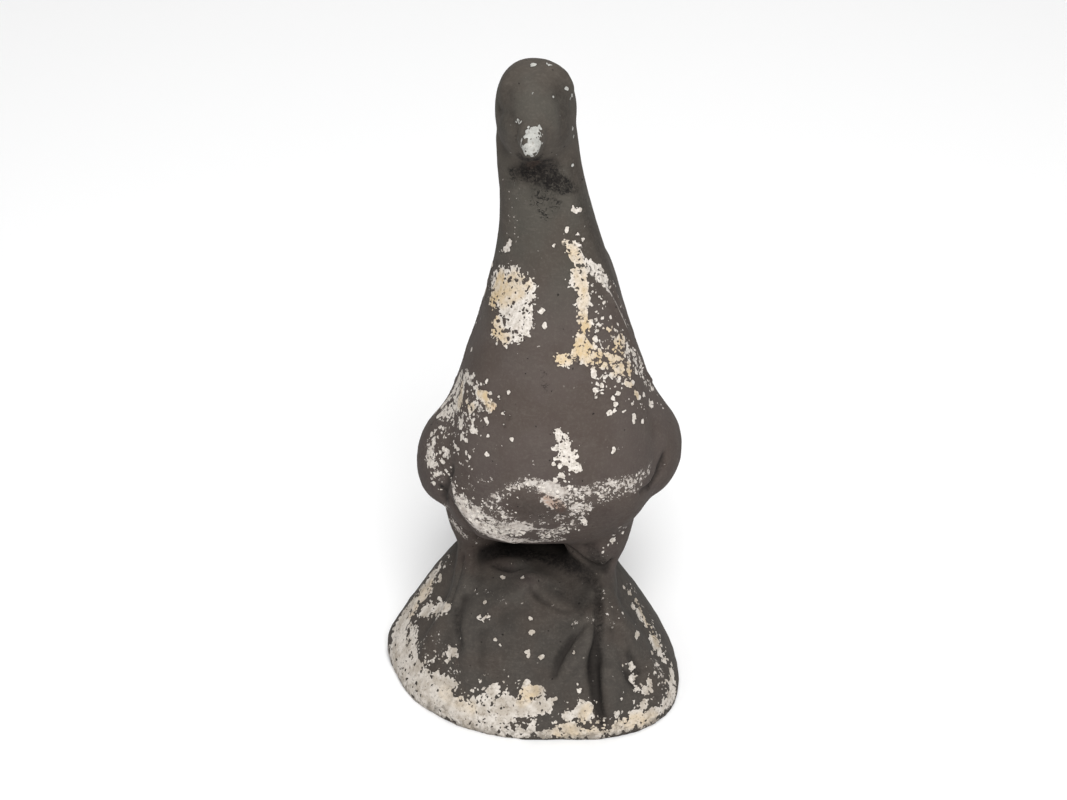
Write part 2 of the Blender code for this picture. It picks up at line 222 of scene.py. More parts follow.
def feather_tree():
    """Instance a feather at each point, realise, drop along a ray onto the body and lift the rim.

    Towards the breast the feathers dive under the surface, which leaves the front smooth.
    """
    tree = bpy.data.node_groups.new("lay feathers", "GeometryNodeTree")
    for name, kind in (
        ("Quill Points", "NodeSocketGeometry"),
        ("Feather", "NodeSocketObject"),
        ("Body", "NodeSocketObject"),
        ("Drop", "NodeSocketVector"),
        ("Relief", "NodeSocketFloat"),
        ("Unevenness", "NodeSocketFloat"),
        ("Smooth Front", "NodeSocketFloat"),
        ("Seed", "NodeSocketInt"),
        ("Material", "NodeSocketMaterial"),
    ):
        tree.interface.new_socket(name, in_out="INPUT", socket_type=kind)
    tree.interface.new_socket("Feathers", in_out="OUTPUT", socket_type="NodeSocketGeometry")
    nodes = tree.nodes
    add, link = nodes.new, tree.links.new
    given = add("NodeGroupInput")
    out = add("NodeGroupOutput")

    def attribute(name, kind):
        node = add("GeometryNodeInputNamedAttribute")
        node.data_type = kind
        node.inputs["Name"].default_value = name
        return node.outputs["Attribute"]

    def maths(operation, a, b):
        node = add("ShaderNodeMath")
        node.operation = operation
        for socket, value in zip(node.inputs, (a, b)):
            if isinstance(value, float):
                socket.default_value = value
            else:
                link(value, socket)
        return node.outputs[0]

    def scaled(vector, amount):
        node = add("ShaderNodeVectorMath")
        node.operation = "SCALE"
        link(vector, node.inputs[0])
        link(amount, node.inputs["Scale"])
        return node.outputs["Vector"]

    feather = add("GeometryNodeObjectInfo")
    link(given.outputs["Feather"], feather.inputs["Object"])
    turn = add("FunctionNodeEulerToRotation")
    link(attribute("turn", "FLOAT_VECTOR"), turn.inputs[0])
    chance = add("FunctionNodeRandomValue")
    chance.data_type = "FLOAT"
    link(maths("SUBTRACT", 1.0, given.outputs["Unevenness"]), chance.inputs[2])
    chance.inputs[3].default_value = 1.0
    link(given.outputs["Seed"], chance.inputs["Seed"])
    place = add("GeometryNodeInstanceOnPoints")
    link(given.outputs["Quill Points"], place.inputs["Points"])
    link(feather.outputs["Geometry"], place.inputs["Instance"])
    link(turn.outputs[0], place.inputs["Rotation"])
    link(scaled(attribute("size", "FLOAT_VECTOR"), chance.outputs[1]), place.inputs["Scale"])
    realise = add("GeometryNodeRealizeInstances")
    link(place.outputs[0], realise.inputs[0])

    body = add("GeometryNodeObjectInfo")
    link(given.outputs["Body"], body.inputs["Object"])
    ray = add("GeometryNodeRaycast")
    link(body.outputs["Geometry"], ray.inputs["Target Geometry"])
    link(given.outputs["Drop"], ray.inputs["Ray Direction"])
    ray.inputs["Ray Length"].default_value = 1.0
    near = add("GeometryNodeProximity")
    near.target_element = "FACES"
    link(body.outputs["Geometry"], near.inputs[0])
    landing = add("ShaderNodeSeparateXYZ")
    link(ray.outputs["Hit Position"], landing.inputs[0])
    sink = add("ShaderNodeMapRange")
    link(maths("SUBTRACT", landing.outputs["Y"], given.outputs["Smooth Front"]), sink.inputs["Value"])
    sink.inputs["From Max"].default_value = FADE_LENGTH
    sink.inputs["To Min"].default_value = FADED_DEPTH
    sink.inputs["To Max"].default_value = 0.0
    lift = maths("MULTIPLY", attribute("lift", "FLOAT"), given.outputs["Relief"])
    landed = add("ShaderNodeVectorMath")
    landed.operation = "ADD"
    link(ray.outputs["Hit Position"], landed.inputs[0])
    link(scaled(ray.outputs["Hit Normal"], maths("ADD", lift, sink.outputs["Result"])), landed.inputs[1])
    choose = add("GeometryNodeSwitch")
    choose.input_type = "VECTOR"
    link(ray.outputs["Is Hit"], choose.inputs["Switch"])
    link(near.outputs["Position"], choose.inputs["False"])
    link(landed.outputs["Vector"], choose.inputs["True"])
    move = add("GeometryNodeSetPosition")
    link(realise.outputs[0], move.inputs["Geometry"])
    link(choose.outputs["Output"], move.inputs["Position"])
    finish = add("GeometryNodeSetMaterial")
    link(move.outputs[0], finish.inputs["Geometry"])
    link(given.outputs["Material"], finish.inputs["Material"])
    link(finish.outputs[0], out.inputs[0])
    return tree


laying = feather_tree()
print("tree inputs:", [item.name for item in laying.interface.items_tree if item.in_out == "INPUT"])


# %% Where the quills start
WING_STANDOFF = 0.2


def wing_quills(side):
    """Quills of one wing, in the plane beside it: start, turn and size of each feather, tail end first.

    A row is how far back and how high the quill starts, its slope in degrees, its length and its width.
    The long quills come first, and two rows of shorter feathers cover their roots.
    """
    rows = []
    for i in range(6):
        rows.append((38.0 - 0.6 * i, 90.0 + 10.2 * i, -5.0 - 7.2 * i, 66.0 - 2.6 * i, 15.5))
    for i in range(8):
        rows.append((20.0 + 0.2 * i, 88.0 + 12.0 * i, -7.0 - 6.2 * i, 33.0 - 1.0 * i, 15.0))
    for i in range(9):
        rows.append((13.0 + 0.5 * i, 88.0 + 11.0 * i, -9.0 - 5.2 * i, 22.0 - 0.5 * i, 14.0))
    quills = []
    for y, z, degrees, length, width in rows:
        b = math.radians(degrees)
        along = Vector((0.0, math.cos(b), math.sin(b)))
        up = Vector((side, 0.0, 0.0))
        across = along.cross(up)
        turn = Matrix((across, along, up)).transposed().to_euler("XYZ")
        quills.append(((side * WING_STANDOFF, y * MM, z * MM), tuple(turn), (width * MM, length * MM, MM)))
    return quills


TAIL_SLOPE = math.radians(-52.0)
TAIL_ROOT = (4.5, 100.0, 103.0)
TAIL_ARCH = 0.3
TAIL_FEATHER = (11.0 * MM, 50.0 * MM, MM)
TAIL_STANDOFF = 0.12


def tail_quills():
    """The fan of the tail, in a plane behind and above it. Outer roots sit a little lower."""
    slope = Matrix.Rotation(TAIL_SLOPE, 3, "X")
    off = slope @ Vector((0.0, 0.0, TAIL_STANDOFF))
    quills = []
    for x, fan in ((-13.5, 5.0), (13.5, -5.0), (-8.0, 2.5), (8.0, -2.5), (0.0, 0.0)):
        root = Vector((TAIL_ROOT[0] + x, TAIL_ROOT[1], TAIL_ROOT[2] - TAIL_ARCH * abs(x))) * MM
        turn = (slope @ Matrix.Rotation(math.radians(fan), 3, "Z")).to_euler("XYZ")
        quills.append((tuple(root + off), tuple(turn), TAIL_FEATHER))
    return quills


FEATHER_RELIEF = 2.0 * MM
FEATHER_UNEVENNESS = 0.06
SMOOTH_FRONT = 23.0 * MM


def laid_feathers(name, quills, drop, seed):
    """Runs the tree on the given quills and returns the feathers as one plain mesh object."""
    points = bpy.data.meshes.new(name)
    points.from_pydata([q[0] for q in quills], [], [])
    for label, column in (("turn", 1), ("size", 2)):
        values = points.attributes.new(label, "FLOAT_VECTOR", "POINT")
        values.data.foreach_set("vector", [v for q in quills for v in q[column]])
    obj = bpy.data.objects.new(name, points)
    bpy.context.scene.collection.objects.link(obj)
    modifier = obj.modifiers.new("lay feathers", "NODES")
    modifier.node_group = laying
    settings = {"Feather": leaf, "Body": casting, "Drop": drop, "Seed": seed}
    settings["Relief"] = FEATHER_RELIEF
    settings["Unevenness"] = FEATHER_UNEVENNESS
    settings["Smooth Front"] = SMOOTH_FRONT
    for item in laying.interface.items_tree:
        if item.name in settings:
            modifier[item.identifier] = settings[item.name]
    return evaluated_copy(obj, name)


TAIL_DROP = tuple(Matrix.Rotation(TAIL_SLOPE, 3, "X") @ Vector((0.0, 0.0, -1.0)))
feathers = [
    laid_feathers("left wing feathers", wing_quills(-1.0), (1.0, 0.0, 0.0), 3),
    laid_feathers("right wing feathers", wing_quills(1.0), (-1.0, 0.0, 0.0), 4),
    laid_feathers("tail feathers", tail_quills(), TAIL_DROP, 5),
]
for piece in feathers:
    spread = np.array([v.co for v in piece.data.vertices]) / MM
    print(piece.name, len(piece.data.polygons), "faces, in mm", spread.min(0).round(), spread.max(0).round())

# %% Fuse the feathers with the body
SQUARE = 1.37 * MM
together = bmesh.new()
for piece in [casting] + feathers:
    together.from_mesh(piece.data)
together.to_mesh(casting.data)
together.free()
for piece in feathers + [leaf]:
    bpy.data.objects.remove(piece)
casting = remeshed(casting, "dove_casting", SQUARE, 1)
print("fused:", len(casting.data.polygons), "squares,", 2 * len(casting.data.polygons), "triangles")

# %% [markdown]
# ## Carving
# The finer forms are cut into the fused mesh as strokes, as with a loop tool on wet plaster. Each
# stroke is a line of points in the photograph's 1067 by 800 frame, with a width and a
# depth in millimetres. A ray from the camera drops each point onto the surface, and every vertex near
# the line moves along its normal. A minus depth raises a ridge.

# %% Strokes on the surface
mesh = casting.data
count = len(mesh.vertices)
places = np.empty(count * 3)
mesh.vertices.foreach_get("co", places)
places = places.reshape(-1, 3) / MM


def normals_now():
    """Writes the vertices' places back and returns their unit normals."""
    mesh.vertices.foreach_set("co", (places * MM).ravel())
    mesh.update()
    found = np.empty(count * 3, np.float32)
    mesh.vertex_normals.foreach_get("vector", found)
    return found.reshape(-1, 3).astype(float)


normals = normals_now()
surface = BVHTree.FromPolygons([Vector(p) for p in places], [tuple(f.vertices) for f in mesh.polygons])

PHOTO = (1067, 800)
FOCAL_PIXELS = PHOTO[0] * camera.data.lens / camera.data.sensor_width
MISS_SEARCH = range(200, 1600, 10)
ROUND_DISTANCE = 600.0
STROKE_REACH, STROKE_CORE = 1.6, 0.55


def first_hit(start, towards):
    """Where a ray meets the surface, or else the surface point that it passes closest to."""
    hit = surface.ray_cast(start, towards)[0]
    if hit is None:
        tries = [surface.find_nearest(start + towards * t) for t in MISS_SEARCH]
        hit = min(tries, key=lambda found: found[3])[0]
    return hit


def in_photo(column, row):
    """The surface point, in mm, under a pixel of the photograph, and the width of a pixel there."""
    lens_at = camera.location / MM
    ahead = Vector((column - PHOTO[0] / 2, PHOTO[1] / 2 - row, -FOCAL_PIXELS))
    towards = camera.rotation_euler.to_matrix() @ ahead
    hit = first_hit(lens_at, towards.normalized())
    return np.array(hit), (hit - lens_at).length / FOCAL_PIXELS


def from_round(turn, u, v):
    """The surface point that a viewer turned round by some degrees sees u right and v up, in mm."""
    a = math.radians(turn)
    right = Vector((math.cos(a), math.sin(a), 0.0))
    away = Vector((-math.sin(a), math.cos(a), 0.0)) * math.cos(CAMERA_TILT)
    away.z = -math.sin(CAMERA_TILT)
    return np.array(first_hit(right * u + right.cross(away) * v - away * ROUND_DISTANCE, away))


def flattened(points, squash):
    """Points pressed together along the camera's line of sight, which is how a picture shows them."""
    sight = np.array(towards_lens)
    return points - (1.0 - squash) * np.outer(points @ sight, sight).reshape(points.shape)


def near_line(points, reach, squash=1.0):
    """Vertices within reach of a line of (place, radius) points, with distance and radius there."""
    cloud = flattened(places, squash)
    points = [(flattened(place, squash), radius) for place, radius in points]
    pairs = list(zip(points, points[1:])) or [(points[0], points[0])]
    for (a, ra), (b, rb) in pairs:
        widest = reach * max(ra, rb)
        inside = np.all((cloud > np.minimum(a, b) - widest) & (cloud < np.maximum(a, b) + widest), axis=1)
        index = np.flatnonzero(inside)
        span = b - a
        t = np.clip((cloud[index] - a) @ span / max(span @ span, 1e-9), 0.0, 1.0)
        distance = np.linalg.norm(cloud[index] - (a + t[:, None] * span), axis=1)
        yield index, distance, ra + t * (rb - ra)


def bell(distance, radius):
    """The profile of a stroke: 1 on its line, falling to nothing at its sides."""
    return np.exp(-((distance / (STROKE_CORE * radius)) ** 2))


def ramp(values, start, end):
    """0 at the start value and 1 at the end value, straight in between and level beyond."""
    return np.clip((values - start) / (end - start), 0.0, 1.0)


def carve(line, width, depth):
    """Moves the vertices near the line by up to depth mm against their normals."""
    spine = [(in_photo(column, row)[0], width) for column, row in line]
    amount = np.zeros(count)
    for index, distance, radius in near_line(spine, STROKE_REACH):
        amount[index] = np.maximum(amount[index], bell(distance, radius))
    places[:] = places - normals * (depth * amount)[:, None]


print("surface has", count, "points; the breast under pixel (540, 440) is at", in_photo(540, 440)[0].round(1))

# %% [markdown]
# ## The lines of the carving
# From the front: the crevices where each wing lobe meets the breast, the rim of the breast, the thin
# wing edge that runs down from the neck, the legs and toes, and the hollows of the rock. Values are
# name, width and depth in mm, and the line in pixels of the photograph. They overlap on purpose,
# because real tool marks do.

# %% Cut the strokes
CARVING = [
    ("left crevice", 3.6, 1.8, [(452, 468), (448, 478), (445, 488), (443, 499)]),
    ("right crevice", 3.8, 1.9, [(666, 455), (661, 466), (657, 477), (650, 487), (643, 492)]),
    ("under the breast's left rim", 3.0, 1.5, [(449, 498), (455, 509), (462, 520), (470, 530),
        (480, 538)]),
    ("breast's left rim", 4.2, -1.1, [(455, 490), (459, 502), (466, 513), (475, 523), (486, 531),
        (499, 537), (515, 541)]),
    ("left wing edge, crease", 2.4, 0.6, [(493, 264), (489, 280), (486, 296)]),
    ("left wing edge", 2.8, -0.6, [(489, 262), (484, 284), (477, 310), (469, 338), (464, 360)]),
    ("right wing edge", 2.4, -0.9, [(600, 278), (605, 287), (611, 297), (617, 310), (623, 323),
        (629, 336), (635, 350), (642, 366), (650, 380)]),
    ("right wing edge, crease", 2.6, 0.8, [(610, 286), (621, 308), (629, 322), (638, 343), (647, 364)]),
    ("throat", 5.0, 1.1, [(514, 173), (524, 168), (534, 167), (546, 170), (556, 176)]),
    ("groove between the toes", 4.4, 3.2, [(597, 598), (598, 623), (597, 643), (594, 668), (595, 690),
        (601, 716)]),
    ("edge left of the groove", 3.6, -1.0, [(588, 612), (587, 632), (584, 650), (583, 672)]),
    ("inner toe's edge", 3.2, 2.2, [(588, 622), (573, 637), (561, 655), (554, 676)]),
    ("inner toe", 5.0, -1.1, [(590, 640), (579, 655), (567, 674)]),
    ("outer hollow", 5.5, 2.0, [(612, 628), (619, 648), (625, 668), (636, 684)]),
    ("outer ridge", 5.0, -1.0, [(622, 622), (632, 642), (640, 662)]),
    ("crease under the bump", 2.2, 1.3, [(495, 565), (503, 568.5), (512, 570), (521, 567)]),
    ("bump", 7.5, -1.3, [(501, 561), (516, 560)]),
    ("crease on the rock", 2.4, 1.4, [(530, 577), (532, 586), (536, 594), (543, 600), (554, 606),
        (566, 612)]),
    ("hollow beside the crease", 7.0, 1.4, [(548, 584), (562, 592), (576, 604)]),
    ("hollow by the left foot", 6.5, 2.6, [(462, 598), (458, 614), (456, 630), (458, 646)]),
    ("hollow left of the leg", 5.0, 1.0, [(464, 566), (457, 582), (448, 600)]),
    ("rim of the rock's face", 5.0, -1.2, [(530, 583), (519, 592), (506, 602), (492, 612), (480, 624)]),
    ("slope under the rim", 9.0, 0.9, [(540, 600), (522, 612), (506, 624)]),
    ("hollow under the belly", 9.0, 1.6, [(540, 566), (560, 574), (581, 590)]),
    ("right leg", 3.6, -1.1, [(602, 577), (605, 599), (609, 619), (616, 636), (626, 650)]),
    ("toe's end", 6.0, -1.4, [(607, 672), (609, 690), (610, 702)]),
    ("under the right thigh", 3.2, 2.4, [(566, 545), (576, 554), (586, 562), (597, 568), (606, 568),
        (612, 562)]),
    ("left leg's ridge", 4.0, -1.8, [(471, 552), (469, 568), (464, 586)]),
    ("crease left of the leg", 3.0, 2.2, [(462, 556), (457, 574), (451, 592), (447, 608)]),
    ("left foot", 6.0, -1.1, [(476, 600), (470, 620), (468, 642), (470, 664)]),
    ("right temple", 9.0, 1.4, [(559, 92), (563, 112), (564, 132)]),
    ("left temple", 7.0, 1.2, [(507, 94), (509, 112), (512, 128)]),
    ("crown's left shoulder", 9.0, -1.5, [(503, 88), (508, 78), (515, 72)]),
    ("crown's right shoulder", 9.0, -1.7, [(556, 69), (564, 75), (569, 85)]),
    ("forehead", 8.0, -0.7, [(534, 82), (535, 100), (536, 118)]),
    ("left brow's notch", 4.0, 1.1, [(498, 110), (503, 113), (509, 116)]),
    ("left cheek", 7.0, -1.0, [(499, 140), (500, 152)]),
    ("beak's left side", 3.0, 1.1, [(516, 128), (516, 142), (519, 156)]),
    ("beak's right side", 3.0, 1.1, [(548, 132), (547, 145), (542, 158)]),
    ("beak", 5.5, -0.8, [(535, 132), (531, 142), (529, 150)]),
    ("fold on the right flank", 6.0, 0.9, [(606, 480), (620, 500), (622, 520)]),
]
for _, width, depth, line in CARVING:
    carve(line, width, depth)
normals = normals_now()
print("strokes cut:", ", ".join(row[0] for row in CARVING))

# %% [markdown]
# ## Eyes and beak
# The face is nearly worn away. Each eye is a shallow dish with a low ring round a small bead, and the
# beak keeps a mouth line on either side. The rings are set by a centre and a radius, because round
# forms are easier to place that way than with strokes.

# %% Eyes and mouth
EYE = (17.5, -17.0, 286.0)
# A dish, a ring and a bead: radius, thickness and height in mm.
EYE_RINGS = [(0.0, 5.2, -1.2), (3.6, 0.95, 0.9), (0.0, 1.7, 1.1)]
MOUTH = [(9.5, -33.0, 277.0), (5.5, -43.0, 277.5), (3.6, -50.0, 278.0)]
MOUTH_WIDTH, MOUTH_DEPTH = 1.5, 0.45


def ring(centre, radius, thickness, height):
    """Raises (or sinks) a ring of the surface round a centre."""
    distance = np.linalg.norm(places - centre, axis=1)
    share = np.exp(-(((distance - radius) / thickness) ** 2))
    places[:] = places + normals * (height * share)[:, None]


def on_side(point, side):
    """The surface point nearest to a point given for the right side, or to its mirror image."""
    return np.array(surface.find_nearest(Vector((side * point[0], point[1], point[2])))[0])


for side in (-1.0, 1.0):
    centre = on_side(EYE, side)
    for radius, thickness, height in EYE_RINGS:
        ring(centre, radius, thickness, height)
    spine = [(on_side(point, side), MOUTH_WIDTH) for point in MOUTH]
    for index, distance, radius in near_line(spine, STROKE_REACH):
        places[index] -= normals[index] * (MOUTH_DEPTH * bell(distance, radius))[:, None]
normals = normals_now()
print("right eye at", [round(float(v), 1) for v in centre])

# %% [markdown]
# ## A hand-made surface
# Wet cement leaves a surface that is never quite even. Low noise at three sizes moves each vertex a
# little: broad swellings, then small lumps, more on the rock than on the bird, then a few pits where
# air was caught. The underside is scraped flat, so that the figure stands.

# %% Swellings, lumps and pits
SEED_STEP = (17.3, 5.1, 11.7)


def noise_at(points, size, seed):
    """Blender's gradient noise, about -1 to 1, at a wavelength of size mm."""
    shift = Vector([seed * step for step in SEED_STEP])
    return np.array([noise.noise(Vector(p) / size + shift) for p in points])


# Swellings, lumps and grain: wavelength in mm, seed, height on the bird and how much more on the rock.
UNEVENNESS = [(26.0, 1, 0.45, 0.35), (9.0, 2, 0.16, 0.30), (3.6, 3, 0.07, 0.10)]
ROCK_TOP = 66.0
on_rock = ramp(places[:, 2], ROCK_TOP, ROCK_TOP - 8.0)
moved = np.zeros(count)
for wavelength, seed, on_bird, more in UNEVENNESS:
    moved += noise_at(places, wavelength, seed) * (on_bird + more * on_rock)
places = places + normals * moved[:, None]

PITS, PIT_DEPTH, PIT_RADIUS = 90, 0.55, 0.9
picker = np.random.default_rng(12)
for pit in picker.choice(count, PITS, replace=False):
    distance = np.linalg.norm(places - places[pit], axis=1)
    places = places - normals * (PIT_DEPTH * np.exp(-((distance / PIT_RADIUS) ** 2)))[:, None]
FLAT_BELOW, BLENDED_BELOW = 0.9, 2.6
scraped = np.maximum(places[:, 2] - FLAT_BELOW, 0.0) * BLENDED_BELOW / (BLENDED_BELOW - FLAT_BELOW)
places[:, 2] = np.where(places[:, 2] < BLENDED_BELOW, scraped, places[:, 2])
normals = normals_now()
print("moved by up to", round(float(np.abs(moved).max()), 2), "mm,", PITS, "pits")
